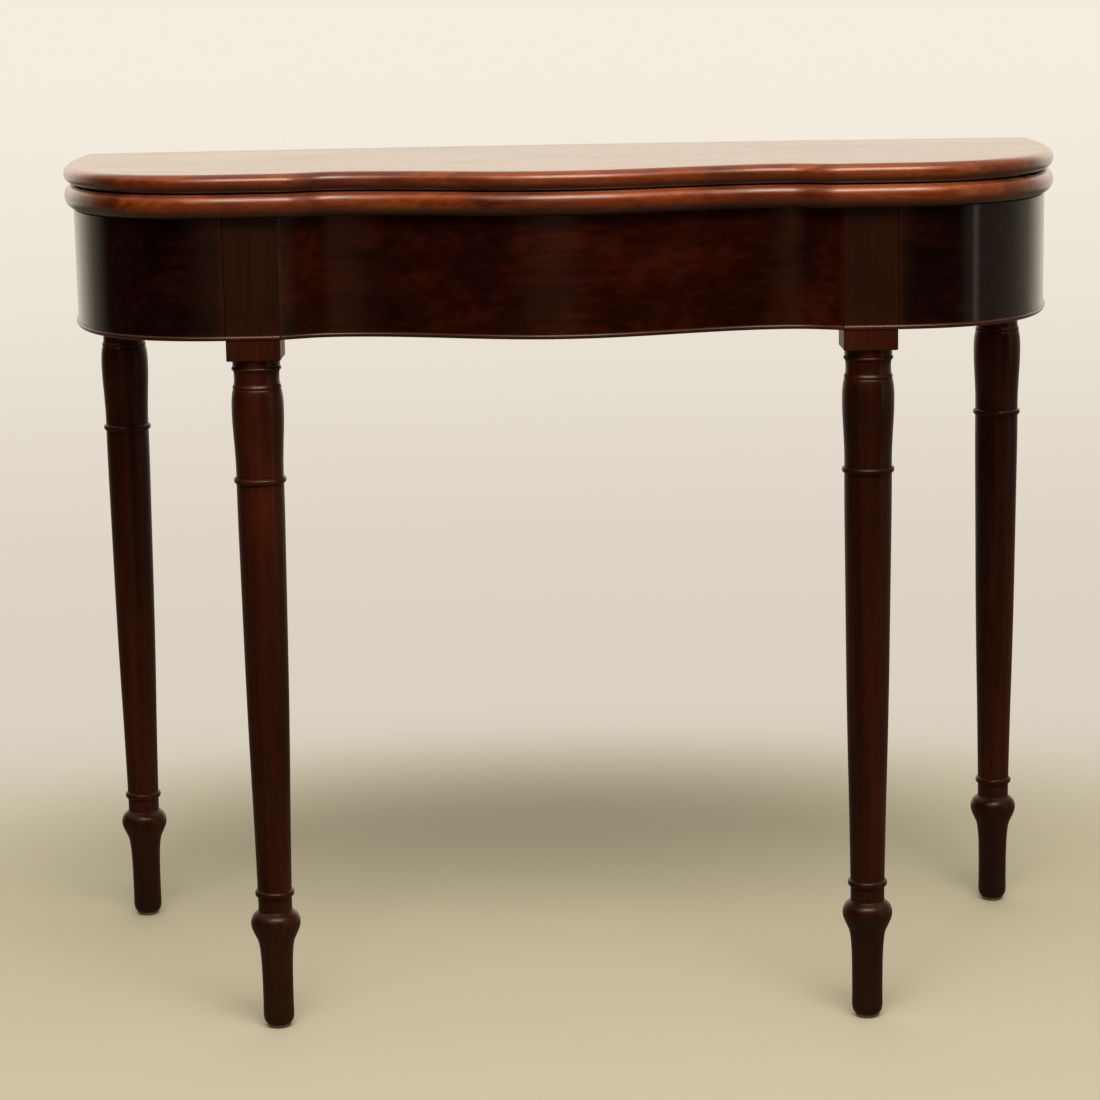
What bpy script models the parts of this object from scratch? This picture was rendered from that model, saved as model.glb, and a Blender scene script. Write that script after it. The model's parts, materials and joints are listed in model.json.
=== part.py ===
"""A fold over card table with a serpentine front, turned legs and two rear legs that swing out.

Run it with blender --background --python part.py, or from Blender's text editor. Metres, +Z up.
The table stands on Z = 0 with its front towards -Y and its long side along X.
"""

import math

import bmesh
import bpy
from mathutils import Matrix, Vector

# Clearance shared by every fit
FITTING_GAP = 0.0003
CUT_OVERRUN = 0.002
WELD_DISTANCE = 0.000001
SHARP_EDGE_DEGREES = 35

# Overall sizes
TABLE_WIDTH = 0.914
TABLE_DEPTH = 0.440
TABLE_HEIGHT = 0.7525

# Leaves
LEAF_THICKNESS = 0.0182
LEAF_SPACING = 0.0006
LEAF_OVERHANG = 0.013
BULLNOSE_STEPS = 8

# Serpentine front and round ends
BOW_RISE = 0.030
DIP_DEPTH = 0.017
DIP_FROM_STILE = 0.0475
END_REACH = 0.125
END_SHOULDER = 0.118
RETURN_SLOPE_SHARE = 0.55
BOW_HANDLE_SHARE = 0.36
RETURN_START_SHARE = 0.36
RETURN_END_SHARE = 0.40
BOW_STEPS = 10
RETURN_STEPS = 5
STILE_STEPS = 2
END_STEPS = 13

# Legs
LEG_WIDTH = 0.046
FRONT_LEG_SPACING = 0.5214
REAR_LEG_INSET = 0.008
BLOCK_DROP = 0.0176
LEG_SIDES = 24

# Glides under the feet
GLIDE_RADIUS = 0.0103
GLIDE_THICKNESS = 0.003
GLIDE_STEM_RADIUS = 0.0015
GLIDE_STEM_LENGTH = 0.014
GLIDE_EDGE_RADIUS_SHARE = 0.9
GLIDE_EDGE_HEIGHT_SHARE = 0.3
GLIDE_SHANK_SHARE = 0.8
GLIDE_POINT_SHARE = 0.3

# Apron rails, their bead and their tenons
APRON_HEIGHT = 0.1031
RAIL_THICKNESS = 0.022
BEAD_HEIGHT = 0.0042
BEAD_SEAT = 0.004
BEAD_PROJECTION = 0.0015
BEAD_NOSE_SHARES = ((0.3, 0.0), (0.85, 0.22), (1.0, 0.5), (0.85, 0.78), (0.3, 1.0))
TENON_LENGTH = 0.018
TENON_THICKNESS = 0.010
TENON_SHOULDER = 0.016

# Fixed rails behind the apron
BACK_RAIL_THICKNESS = 0.020
BACK_RAIL_HEIGHT = 0.090
BRACE_THICKNESS = 0.024
BRACE_HEIGHT = 0.060

# Fly rails and their wooden knuckles
FLY_RAIL_THICKNESS = 0.022
FLY_RAIL_HEIGHT = 0.092
FLY_TOP_GAP = 0.0005
KNUCKLE_SPACING = 0.240
KNUCKLE_LEVELS = 5
KNUCKLE_GAP = 0.0004
KNUCKLE_PIN_RADIUS = 0.003
FLY_TENON_LENGTH = 0.028
ARC_STEPS = 12

# Blocks glued behind the rails, with their screws
BLOCK_WIDTH = 0.050
BLOCK_DEPTH = 0.028
BLOCK_HEIGHT = 0.030
FRONT_BLOCK_X = 0.130
END_BLOCK_PLACE_SHARE = 0.42
CORNER_BLOCK_SIZE = 0.040
LONG_SCREW_RADIUS = 0.002
LONG_SCREW_HEAD_RADIUS = 0.004
LONG_SCREW_LENGTH = 0.038

# Countersunk screws: rim as a share of the cone, point and tip as shares of the shank's radius
SCREW_RIM_SHARE = 0.25
SCREW_POINT_SHARE = 2.0
SCREW_TIP_SHARE = 0.33
SCREW_SIDES = 12

# Brass hinges between the leaves
HINGE_FROM_END = 0.040
HINGE_WIDTH = 0.014
HINGE_LENGTH = 0.062
HINGE_STRAP_THICKNESS = 0.0022
HINGE_PIN_DEPTH = 0.004
HINGE_PIN_RADIUS = 0.0011
HINGE_LINK_THICKNESS = 0.004
HINGE_SCREW_PLACE_SHARES = (0.42, 0.84)
HINGE_SCREW_RADIUS = 0.0013
HINGE_SCREW_HEAD_RADIUS = 0.003
HINGE_SCREW_LENGTH = 0.012
PIN_SIDES = 16

# Turned leg from the glide up to the square block: share of the turned height, share of half the leg width
LEG_PROFILE_SHARES = (
    (0.0, 0.47),
    (0.005, 0.55),
    (0.010, 0.578),
    (0.054, 0.585),
    (0.096, 0.604),
    (0.113, 0.635),
    (0.130, 0.713),
    (0.143, 0.870),
    (0.150, 0.930),
    (0.156, 0.948),
    (0.161, 0.935),
    (0.166, 0.887),
    (0.170, 0.804),
    (0.175, 0.648),
    (0.196, 0.650),
    (0.197, 0.691),
    (0.199, 0.739),
    (0.202, 0.748),
    (0.205, 0.735),
    (0.207, 0.691),
    (0.208, 0.652),
    (0.282, 0.685),
    (0.343, 0.717),
    (0.434, 0.772),
    (0.495, 0.800),
    (0.586, 0.830),
    (0.705, 0.865),
    (0.794, 0.887),
    (0.818, 0.889),
    (0.820, 0.939),
    (0.822, 0.972),
    (0.825, 0.974),
    (0.827, 0.952),
    (0.829, 0.885),
    (0.853, 0.891),
    (0.882, 0.926),
    (0.907, 0.961),
    (0.929, 0.970),
    (0.948, 0.939),
    (0.957, 0.883),
    (0.960, 0.909),
    (0.963, 0.865),
    (0.975, 0.841),
    (0.984, 0.865),
    (0.985, 0.911),
    (0.987, 0.924),
    (0.989, 0.883),
    (1.0, 0.883),
)

# Colour, metallic and roughness of each finish
MAHOGANY = ((0.110, 0.026, 0.012, 1.0), 0.0, 0.22)
INNER_WOOD = ((0.330, 0.170, 0.075, 1.0), 0.0, 0.65)
BRASS = ((0.640, 0.440, 0.170, 1.0), 1.0, 0.35)
IRON = ((0.150, 0.135, 0.125, 1.0), 1.0, 0.55)
STEEL = ((0.560, 0.550, 0.530, 1.0), 1.0, 0.40)

# Directions in plan, and the two sides of the table
FORWARDS = (0, -1)
LEFTWARDS = (-1, 0)
RIGHTWARDS = (1, 0)
SIDES = (("left", -1), ("right", 1))

# Heights and planes worked out from the sizes above
LEAF_UNDERSIDE = TABLE_HEIGHT - 2 * LEAF_THICKNESS - LEAF_SPACING
LEAF_MEETING = TABLE_HEIGHT - LEAF_THICKNESS - LEAF_SPACING / 2
RAIL_BOTTOM = LEAF_UNDERSIDE - APRON_HEIGHT
RAIL_TOP = LEAF_UNDERSIDE - FITTING_GAP
BLOCK_BOTTOM = RAIL_BOTTOM - BLOCK_DROP
HALF_WIDTH = TABLE_WIDTH / 2
HALF_LEG = LEG_WIDTH / 2
STILE_FACE = -TABLE_DEPTH / 2 + LEAF_OVERHANG + BOW_RISE
STILE_INNER = FRONT_LEG_SPACING / 2 - HALF_LEG
STILE_OUTER = FRONT_LEG_SPACING / 2 + HALF_LEG
REAR_EDGE = TABLE_DEPTH / 2
REAR_LEG_X = HALF_WIDTH - LEAF_OVERHANG - HALF_LEG
REAR_LEG_Y = REAR_EDGE - REAR_LEG_INSET - HALF_LEG
REAR_POST_FRONT = REAR_LEG_Y - HALF_LEG
REAR_POST_INNER = REAR_LEG_X - HALF_LEG
END_RAIL_REAR = REAR_POST_FRONT - FITTING_GAP
TENON_MIDDLE = STILE_FACE + RAIL_THICKNESS / 2
TENON_LOW = RAIL_BOTTOM + TENON_SHOULDER
TENON_HIGH = RAIL_TOP - TENON_SHOULDER
FLY_TOP = LEAF_UNDERSIDE - FLY_TOP_GAP
FLY_BOTTOM = FLY_TOP - FLY_RAIL_HEIGHT
FLY_MIDDLE = REAR_POST_FRONT + FLY_RAIL_THICKNESS / 2
KNUCKLE_RADIUS = FLY_RAIL_THICKNESS / 2
KNUCKLE_X = KNUCKLE_SPACING / 2
HINGE_X = HALF_WIDTH - HINGE_FROM_END
HINGE_EDGE_RADIUS = HINGE_PIN_DEPTH - LEAF_SPACING / 2
HINGE_PIN_Y = REAR_EDGE - HINGE_EDGE_RADIUS


def clear_scene():
    for obj in list(bpy.data.objects):
        bpy.data.objects.remove(obj, do_unlink=True)


def finish_material(name, finish):
    colour, metallic, roughness = finish
    material = bpy.data.materials.new(name + "_finish")
    material.use_nodes = True
    shader = material.node_tree.nodes["Principled BSDF"]
    shader.inputs["Base Color"].default_value = colour
    shader.inputs["Metallic"].default_value = metallic
    shader.inputs["Roughness"].default_value = roughness
    material.diffuse_color = colour
    return material


def joint_empty(name, place):
    """An empty on a joint's axis: what moves with the joint is parented to it."""
    empty = bpy.data.objects.new(name, None)
    empty.location = place
    bpy.context.scene.collection.objects.link(empty)
    return empty


def object_of(name, shape, origin):
    """The object of a bmesh drawn in world coordinates, with its own origin at the given place."""
    bmesh.ops.remove_doubles(shape, verts=shape.verts, dist=WELD_DISTANCE)
    bmesh.ops.recalc_face_normals(shape, faces=shape.faces)
    bmesh.ops.translate(shape, vec=-Vector(origin), verts=shape.verts)
    mesh = bpy.data.meshes.new(name)
    shape.to_mesh(mesh)
    shape.free()
    obj = bpy.data.objects.new(name, mesh)
    obj.location = origin
    bpy.context.scene.collection.objects.link(obj)
    return obj


def piece(name, finish, shape, origin, joint=None, smooth=True):
    """A visible piece of the table, in its finish, moved by a joint's empty where it has one."""
    obj = object_of(name, shape, origin)
    obj.data.materials.append(finish_material(name, finish))
    if smooth:
        for polygon in obj.data.polygons:
            polygon.use_smooth = True
        obj.data.set_sharp_from_angle(angle=math.radians(SHARP_EDGE_DEGREES))
    if joint:
        obj.parent = joint
        obj.matrix_parent_inverse = Matrix.Translation(joint.location).inverted()
    return obj


def cut_away(target, name, shape):
    """Takes a hidden shape away from a piece. Its closed bodies don't overlap one another."""
    cutter = object_of(target.name + "_" + name, shape, target.location)
    cutter.hide_render = True
    cutter.display_type = "WIRE"
    modifier = target.modifiers.new(name, "BOOLEAN")
    modifier.operation = "DIFFERENCE"
    modifier.solver = "EXACT"
    modifier.object = cutter


def join_on(target, name, shape):
    """Joins a hidden shape to a piece, so that the two are one solid."""
    added = object_of(target.name + "_" + name, shape, target.location)
    added.hide_render = True
    added.display_type = "WIRE"
    modifier = target.modifiers.new(name, "BOOLEAN")
    modifier.operation = "UNION"
    modifier.solver = "EXACT"
    modifier.object = added


def add_rings(shape, rings):
    """Skins a stack of rings with the same number of points, and closes both ends."""
    loops = [[shape.verts.new(point) for point in ring] for ring in rings]
    count = len(rings[0])
    for low, high in zip(loops, loops[1:]):
        for i in range(count):
            j = (i + 1) % count
            shape.faces.new((low[i], low[j], high[j], high[i]))
    shape.faces.new(loops[0][::-1])
    shape.faces.new(loops[-1])


def add_plan_prism(shape, outline, low, high):
    """Raises an outline drawn in plan from one height to another."""
    add_rings(shape, [[(x, y, z) for x, y in outline] for z in (low, high)])


def add_side_prism(shape, outline, left, right):
    """Pushes an outline drawn in Y and Z along X."""
    add_rings(shape, [[(x, y, z) for y, z in outline] for x in (left, right)])


def add_turning(shape, profile, x, y, sides):
    """Turns a list of (height, radius) round an upright axis."""
    turns = [2 * math.pi * i / sides for i in range(sides)]
    add_rings(
        shape,
        [[(x + r * math.cos(a), y + r * math.sin(a), z) for a in turns] for z, r in profile],
    )


def add_box(shape, low, high):
    (x0, y0, z0), (x1, y1, z1) = low, high
    add_plan_prism(shape, [(x0, y0), (x1, y0), (x1, y1), (x0, y1)], z0, z1)


def circle(u, v, radius, sides):
    turns = [2 * math.pi * i / sides for i in range(sides)]
    return [(u + radius * math.cos(a), v + radius * math.sin(a)) for a in turns]


def arc(u, v, radius, start, stop, steps):
    """Points on a circle from one angle to another, both in degrees."""
    turns = [math.radians(start + (stop - start) * i / steps) for i in range(steps + 1)]
    return [(u + radius * math.cos(a), v + radius * math.sin(a)) for a in turns]


def bezier(p0, p1, p2, p3, steps):
    points = []
    for i in range(steps + 1):
        t = i / steps
        s = 1 - t
        weights = (s * s * s, 3 * s * s * t, 3 * s * t * t, t * t * t)
        points.append(
            tuple(sum(w * p[k] for w, p in zip(weights, (p0, p1, p2, p3))) for k in (0, 1))
        )
    return points


def mirrored(points):
    """The same line on the other side of the table, run the other way."""
    return [(-x, y) for x, y in reversed(points)]


def in_x(side, outline):
    """An outline moved to the right side of the table, for 1, or to the left, for -1."""
    return [(side * x, y) for x, y in outline]


def front_line(overhang, slope):
    """The serpentine between the two front legs, from left to right."""
    face = STILE_FACE - overhang
    dip = STILE_INNER - DIP_FROM_STILE
    crest = face - BOW_RISE
    hollow = face + DIP_DEPTH
    handle = BOW_HANDLE_SHARE * dip
    bow = bezier((0, crest), (handle, crest), (dip - handle, hollow), (dip, hollow), BOW_STEPS)
    start = RETURN_START_SHARE * DIP_FROM_STILE
    stop = RETURN_END_SHARE * DIP_FROM_STILE
    back = bezier(
        (dip, hollow),
        (dip + start, hollow),
        (STILE_INNER - stop, face + slope * stop),
        (STILE_INNER, face),
        RETURN_STEPS,
    )
    half = bow + back[1:]
    return mirrored(half)[:-1] + half


def end_line(overhang, start, rear):
    """The round right end, from beside the front leg to the back."""
    face = STILE_FACE - overhang
    side = HALF_WIDTH - LEAF_OVERHANG + overhang
    return bezier(
        (start, face),
        (STILE_OUTER + END_REACH, face),
        (side, STILE_FACE + END_SHOULDER),
        (side, rear),
        END_STEPS,
    )


def direction(a, b):
    length = math.hypot(b[0] - a[0], b[1] - a[1])
    return ((b[0] - a[0]) / length, (b[1] - a[1]) / length)


def offset_line(points, distance, first, last):
    """Moves a line outwards, to the right of its run. Its two ends slide along given directions."""
    moved = []
    for i, (x, y) in enumerate(points):
        before = direction(points[max(i - 1, 0)], points[max(i, 1)])
        after = direction(points[min(i, len(points) - 2)], points[min(i + 1, len(points) - 1)])
        run = direction((0, 0), (before[0] + after[0], before[1] + after[1]))
        normal = (run[1], -run[0])
        slide = first if i == 0 else last if i == len(points) - 1 else normal
        reach = distance / (slide[0] * normal[0] + slide[1] * normal[1])
        moved.append((x + reach * slide[0], y + reach * slide[1]))
    return moved


def front_offset(points, distance):
    return offset_line(points, distance, FORWARDS, FORWARDS)


def end_offset(points, distance):
    return offset_line(points, distance, FORWARDS, RIGHTWARDS)


def leaf_line():
    """The leaf's outer edge from the left rear corner round the front to the right rear corner."""
    stile = [
        (STILE_INNER + LEG_WIDTH * i / STILE_STEPS, STILE_FACE - LEAF_OVERHANG)
        for i in range(STILE_STEPS + 1)
    ]
    right = stile[1:] + end_line(LEAF_OVERHANG, STILE_OUTER, REAR_EDGE)[1:]
    return mirrored(right) + front_line(LEAF_OVERHANG, 0) + right


def leaf_rings(way):
    """Rings of a leaf from its playing face outwards: way is -1 for the lower leaf, 1 for the upper."""
    line = leaf_line()
    radius = LEAF_THICKNESS / 2
    face = LEAF_MEETING + way * LEAF_SPACING / 2
    rings = []
    for i in range(BULLNOSE_STEPS + 1):
        turn = math.pi * i / BULLNOSE_STEPS
        depth = radius * (1 - math.cos(turn))
        inset = radius * (1 - math.sin(turn))
        short = max(HINGE_EDGE_RADIUS - depth, 0)
        back = HINGE_EDGE_RADIUS - math.sqrt(HINGE_EDGE_RADIUS**2 - short**2)
        ring = offset_line(line, -inset, LEFTWARDS, RIGHTWARDS)
        rings.append(
            [(x, min(y, REAR_EDGE - back), face + way * depth) for x, y in ring]
        )
    return rings


def hinge_point(way, forward, depth):
    """A point of a hinge's side view, from the leaf's rear face and its playing face."""
    face = LEAF_MEETING + way * LEAF_SPACING / 2
    return (REAR_EDGE - forward, face + way * depth)


def hinge_screw_places():
    return [REAR_EDGE - HINGE_LENGTH * share for share in HINGE_SCREW_PLACE_SHARES]


def hinge_pin_height(way):
    return hinge_point(way, HINGE_EDGE_RADIUS, HINGE_EDGE_RADIUS)[1]


def screw_profile(start, way, length, radius, head_radius, swell):
    """A countersunk screw from its head: way is 1 where it points up and -1 where it points down."""
    cone = head_radius - radius
    steps = (
        (-swell, head_radius + swell),
        (SCREW_RIM_SHARE * cone, head_radius + swell),
        (cone, radius + swell),
        (length - SCREW_POINT_SHARE * radius, radius + swell),
        (length + swell, SCREW_TIP_SHARE * radius + swell),
    )
    return [(start + way * along, r) for along, r in steps]


def hinge_screw_profile(way, swell):
    face = hinge_point(way, 0, 0)[1]
    start = face + way * FITTING_GAP / 2
    return screw_profile(
        start, way, HINGE_SCREW_LENGTH, HINGE_SCREW_RADIUS, HINGE_SCREW_HEAD_RADIUS, swell
    )


def long_screw_profile(swell):
    start = LEAF_UNDERSIDE - BLOCK_HEIGHT
    return screw_profile(
        start, 1, LONG_SCREW_LENGTH, LONG_SCREW_RADIUS, LONG_SCREW_HEAD_RADIUS, swell
    )


def hinge_mortise_outline(way):
    """The recess for a hinge in a leaf: shallow for the strap, deep for the knuckle at the rear."""
    deep = 2 * HINGE_EDGE_RADIUS + FITTING_GAP
    shallow = HINGE_STRAP_THICKNESS + FITTING_GAP
    corners = (
        (-CUT_OVERRUN, -CUT_OVERRUN),
        (-CUT_OVERRUN, deep),
        (deep, deep),
        (deep, shallow),
        (HINGE_LENGTH + FITTING_GAP, shallow),
        (HINGE_LENGTH + FITTING_GAP, -CUT_OVERRUN),
    )
    return [hinge_point(way, forward, depth) for forward, depth in corners]


def inner_front_line():
    return front_offset(front_line(0, RETURN_SLOPE_SHARE), -RAIL_THICKNESS)


def outer_end_line():
    return end_line(0, STILE_OUTER + FITTING_GAP, END_RAIL_REAR)


def inner_end_line():
    return end_offset(outer_end_line(), -RAIL_THICKNESS)


def y_at(line, x):
    """The line's Y at a given X, where the line runs from left to right."""
    for a, b in zip(line, line[1:]):
        if a[0] <= x <= b[0]:
            return a[1] + (b[1] - a[1]) * (x - a[0]) / (b[0] - a[0])
    return line[-1][1]


def x_at(line, y):
    """The line's X at a given Y, where the line runs from front to back."""
    for a, b in zip(line, line[1:]):
        if a[1] <= y <= b[1]:
            return a[0] + (b[0] - a[0]) * (y - a[1]) / (b[1] - a[1])
    return line[-1][0]


def block_seats():
    """Where each screwed block's middle meets its rail on the right side, and the rail's direction there."""
    end = inner_end_line()
    i = round(END_BLOCK_PLACE_SHARE * (len(end) - 1))
    front_y = y_at(inner_front_line(), FRONT_BLOCK_X)
    return {
        "front": ((FRONT_BLOCK_X, front_y), RIGHTWARDS),
        "end": (end[i], direction(end[i - 1], end[i + 1])),
    }


def block_screw_places():
    """The middle of each screwed block, where its screw stands, on the right side."""
    places = {}
    for part, ((x, y), run) in block_seats().items():
        places[part] = (x - run[1] * BLOCK_DEPTH / 2, y + run[0] * BLOCK_DEPTH / 2)
    return places


def build_leaf(name, way, joint):
    shape = bmesh.new()
    add_rings(shape, leaf_rings(way))
    leaf = piece(name, MAHOGANY, shape, (0, REAR_EDGE, LEAF_MEETING), joint)
    half = HINGE_WIDTH / 2 + FITTING_GAP
    mortises = bmesh.new()
    holes = bmesh.new()
    for _, side in SIDES:
        middle = side * HINGE_X
        add_side_prism(mortises, hinge_mortise_outline(way), middle - half, middle + half)
        for y in hinge_screw_places():
            add_turning(holes, hinge_screw_profile(way, FITTING_GAP), middle, y, SCREW_SIDES)
    cut_away(leaf, "hinge_mortises", mortises)
    cut_away(leaf, "hinge_screw_holes", holes)
    return leaf


def build_lower_leaf():
    leaf = build_leaf("lower_leaf", -1, None)
    holes = bmesh.new()
    for x, y in block_screw_places().values():
        for side in (-1, 1):
            add_turning(holes, long_screw_profile(FITTING_GAP), side * x, y, SCREW_SIDES)
    cut_away(leaf, "fixing_screw_holes", holes)


def add_tenon(shape, x0, x1, swell):
    """The tenon of an apron rail between two X positions, or its mortise where it swells."""
    half = TENON_THICKNESS / 2 + swell
    add_box(
        shape,
        (min(x0, x1), TENON_MIDDLE - half, TENON_LOW - swell),
        (max(x0, x1), TENON_MIDDLE + half, TENON_HIGH + swell),
    )


def rail_rings(outer, rabbet, inner):
    """A rail in plan: its lower outer edge is rabbeted for the bead, under a roof that slopes a little."""
    seat = RAIL_BOTTOM + BEAD_HEIGHT
    levels = ((RAIL_BOTTOM, rabbet), (seat, rabbet), (seat + FITTING_GAP, outer), (RAIL_TOP, outer))
    return [[(x, y, z) for x, y in line + inner[::-1]] for z, line in levels]


def build_front_rail():
    end = STILE_INNER - FITTING_GAP
    outer = front_line(0, RETURN_SLOPE_SHARE)
    outer = [(max(min(x, end), -end), y) for x, y in outer]
    inner = front_offset(outer, -RAIL_THICKNESS)
    # the offset pushes the point beside each end onto the end, where it would leave a sliver
    middle = [(x, y) for x, y in inner[1:-1] if abs(x) < end - FITTING_GAP]
    inner = [inner[0]] + middle + [inner[-1]]
    shape = bmesh.new()
    add_rings(shape, rail_rings(outer, front_offset(outer, -BEAD_SEAT), inner))
    rail = piece("front_rail", MAHOGANY, shape, (0, STILE_FACE, RAIL_BOTTOM))
    tenons = bmesh.new()
    for side in (-1, 1):
        add_tenon(tenons, side * (end - CUT_OVERRUN), side * (STILE_INNER + TENON_LENGTH), 0)
    join_on(rail, "tenons", tenons)


def build_end_rails():
    outer = outer_end_line()
    rings = rail_rings(outer, end_offset(outer, -BEAD_SEAT), inner_end_line())
    for name, side in SIDES:
        shape = bmesh.new()
        add_rings(shape, [[(side * x, y, z) for x, y, z in ring] for ring in rings])
        place = (side * STILE_OUTER, STILE_FACE, RAIL_BOTTOM)
        rail = piece(name + "_end_rail", MAHOGANY, shape, place)
        tenon = bmesh.new()
        root = STILE_OUTER + FITTING_GAP + CUT_OVERRUN
        add_tenon(tenon, side * (STILE_OUTER - TENON_LENGTH), side * root, 0)
        join_on(rail, "tenon", tenon)


def bead_rings(line, moved):
    """A bead along a line: a square back let into the rail, and a rounded nose."""
    top = BEAD_HEIGHT - FITTING_GAP
    back = FITTING_GAP - BEAD_SEAT
    nose = [(BEAD_PROJECTION * out, top * up) for out, up in BEAD_NOSE_SHARES]
    section = [(back, 0)] + nose + [(back, top)]
    lines = [[(x, y, RAIL_BOTTOM + z) for x, y in moved(line, out)] for out, z in section]
    return [list(ring) for ring in zip(*lines)]


def build_beads():
    half_gap = FITTING_GAP / 2
    end = STILE_INNER - half_gap
    front = [(max(min(x, end), -end), y) for x, y in front_line(0, RETURN_SLOPE_SHARE)]
    shape = bmesh.new()
    add_rings(shape, bead_rings(front, front_offset))
    piece("front_bead", MAHOGANY, shape, (0, STILE_FACE, RAIL_BOTTOM))
    stile = [(STILE_INNER + half_gap, STILE_FACE), (STILE_OUTER - half_gap, STILE_FACE)]
    for name, side in SIDES:
        for part, line, moved in (
            ("stile_bead", stile, front_offset),
            ("end_bead", outer_end_line(), end_offset),
        ):
            shape = bmesh.new()
            rings = bead_rings(line, moved)
            add_rings(shape, [[(side * x, y, z) for x, y, z in ring] for ring in rings])
            place = (side * line[0][0], STILE_FACE, RAIL_BOTTOM)
            piece(name + "_" + part, MAHOGANY, shape, place)


def square_ring(x, y, z, front_inset):
    """A square post's outline with as many points as the turned part's rings."""
    ring = []
    for i in range(LEG_SIDES):
        a = 2 * math.pi * i / LEG_SIDES
        reach = HALF_LEG / max(abs(math.cos(a)), abs(math.sin(a)))
        forward = max(reach * math.sin(a), front_inset - HALF_LEG)
        ring.append((x + reach * math.cos(a), y + forward, z))
    return ring


def circle_ring(x, y, z, radius):
    return [(u, v, z) for u, v in circle(x, y, radius, LEG_SIDES)]


def leg_shape(x, y, top, bead_notch):
    """A whole leg: the turned part, the square block under the apron, and the post behind it."""
    foot = GLIDE_THICKNESS + FITTING_GAP
    turned = BLOCK_BOTTOM - foot
    rings = [
        circle_ring(x, y, foot + turned * height, HALF_LEG * radius)
        for height, radius in LEG_PROFILE_SHARES
    ]
    levels = [(BLOCK_BOTTOM, 0)]
    if bead_notch:
        low = RAIL_BOTTOM - FITTING_GAP
        high = RAIL_BOTTOM + BEAD_HEIGHT
        levels += [(low - FITTING_GAP, 0), (low, BEAD_SEAT)]
        levels += [(high, BEAD_SEAT), (high + FITTING_GAP, 0)]
    levels.append((top, 0))
    rings += [square_ring(x, y, z, inset) for z, inset in levels]
    shape = bmesh.new()
    add_rings(shape, rings)
    return shape


def cut_glide_hole(leg, x, y):
    hole = bmesh.new()
    radius = GLIDE_STEM_RADIUS + FITTING_GAP
    depth = GLIDE_THICKNESS + GLIDE_STEM_LENGTH + FITTING_GAP
    add_turning(hole, ((0, radius), (depth, radius)), x, y, SCREW_SIDES)
    cut_away(leg, "glide_hole", hole)


def build_glide(name, x, y, joint):
    """A nail glide: a domed disc under the foot and a pointed stem in it."""
    shape = bmesh.new()
    profile = (
        (0, GLIDE_RADIUS * GLIDE_EDGE_RADIUS_SHARE),
        (GLIDE_THICKNESS * GLIDE_EDGE_HEIGHT_SHARE, GLIDE_RADIUS),
        (GLIDE_THICKNESS, GLIDE_RADIUS),
        (GLIDE_THICKNESS, GLIDE_STEM_RADIUS),
        (GLIDE_THICKNESS + GLIDE_STEM_LENGTH * GLIDE_SHANK_SHARE, GLIDE_STEM_RADIUS),
        (GLIDE_THICKNESS + GLIDE_STEM_LENGTH, GLIDE_STEM_RADIUS * GLIDE_POINT_SHARE),
    )
    add_turning(shape, profile, x, y, SCREW_SIDES * 2)
    piece(name, STEEL, shape, (x, y, 0), joint)


def build_front_legs():
    y = STILE_FACE + HALF_LEG
    for name, side in SIDES:
        x = side * FRONT_LEG_SPACING / 2
        leg = piece(name + "_front_leg", MAHOGANY, leg_shape(x, y, RAIL_TOP, True), (x, y, 0))
        mortises = bmesh.new()
        deep = TENON_LENGTH + FITTING_GAP
        for edge, way in ((STILE_INNER, 1), (STILE_OUTER, -1)):
            mouth = side * (edge - way * CUT_OVERRUN)
            add_tenon(mortises, mouth, side * (edge + way * deep), FITTING_GAP)
        cut_away(leg, "mortises", mortises)
        cut_glide_hole(leg, x, y)
        build_glide(name + "_front_glide", x, y, None)


def build_rear_leg(name, side, joint):
    x = side * REAR_LEG_X
    shape = leg_shape(x, REAR_LEG_Y, FLY_TOP, False)
    leg = piece(name + "_rear_leg", MAHOGANY, shape, (x, REAR_LEG_Y, 0), joint)
    mortise = bmesh.new()
    deep = FLY_TENON_LENGTH + FITTING_GAP
    add_fly_tenon(mortise, side, REAR_POST_INNER - CUT_OVERRUN, deep, FITTING_GAP)
    cut_away(leg, "mortise", mortise)
    cut_glide_hole(leg, x, REAR_LEG_Y)
    build_glide(name + "_rear_glide", x, REAR_LEG_Y, joint)


def add_fly_tenon(shape, side, start, length, swell):
    """A fly rail's tenon in the rear leg, or its mortise where it swells."""
    half = TENON_THICKNESS / 2 + swell
    ends = (side * start, side * (REAR_POST_INNER + length))
    add_box(
        shape,
        (min(ends), FLY_MIDDLE - half, FLY_BOTTOM + TENON_SHOULDER - swell),
        (max(ends), FLY_MIDDLE + half, FLY_TOP - TENON_SHOULDER + swell),
    )


def knuckle_levels(odd):
    """Height ranges of the knuckle's fingers that the other rail takes, odd ones or even ones."""
    step = FLY_RAIL_HEIGHT / KNUCKLE_LEVELS
    ranges = []
    for i in range(odd, KNUCKLE_LEVELS, 2):
        low = FLY_BOTTOM + i * step
        high = low + step
        if i == 0:
            low -= CUT_OVERRUN
        else:
            low -= KNUCKLE_GAP / 2
        if i == KNUCKLE_LEVELS - 1:
            high += CUT_OVERRUN
        else:
            high += KNUCKLE_GAP / 2
        ranges.append((low, high))
    return ranges


def add_knuckle_sockets(shape, x, odd):
    """Sockets round a knuckle pin: round at the front, square at the back so the rail can swing."""
    reach = KNUCKLE_RADIUS + KNUCKLE_GAP
    rear = FLY_MIDDLE + KNUCKLE_RADIUS + CUT_OVERRUN
    outline = arc(x, FLY_MIDDLE, reach, 180, 360, ARC_STEPS)
    outline += [(x + reach, rear), (x - reach, rear)]
    for low, high in knuckle_levels(odd):
        add_plan_prism(shape, outline, low, high)


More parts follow.
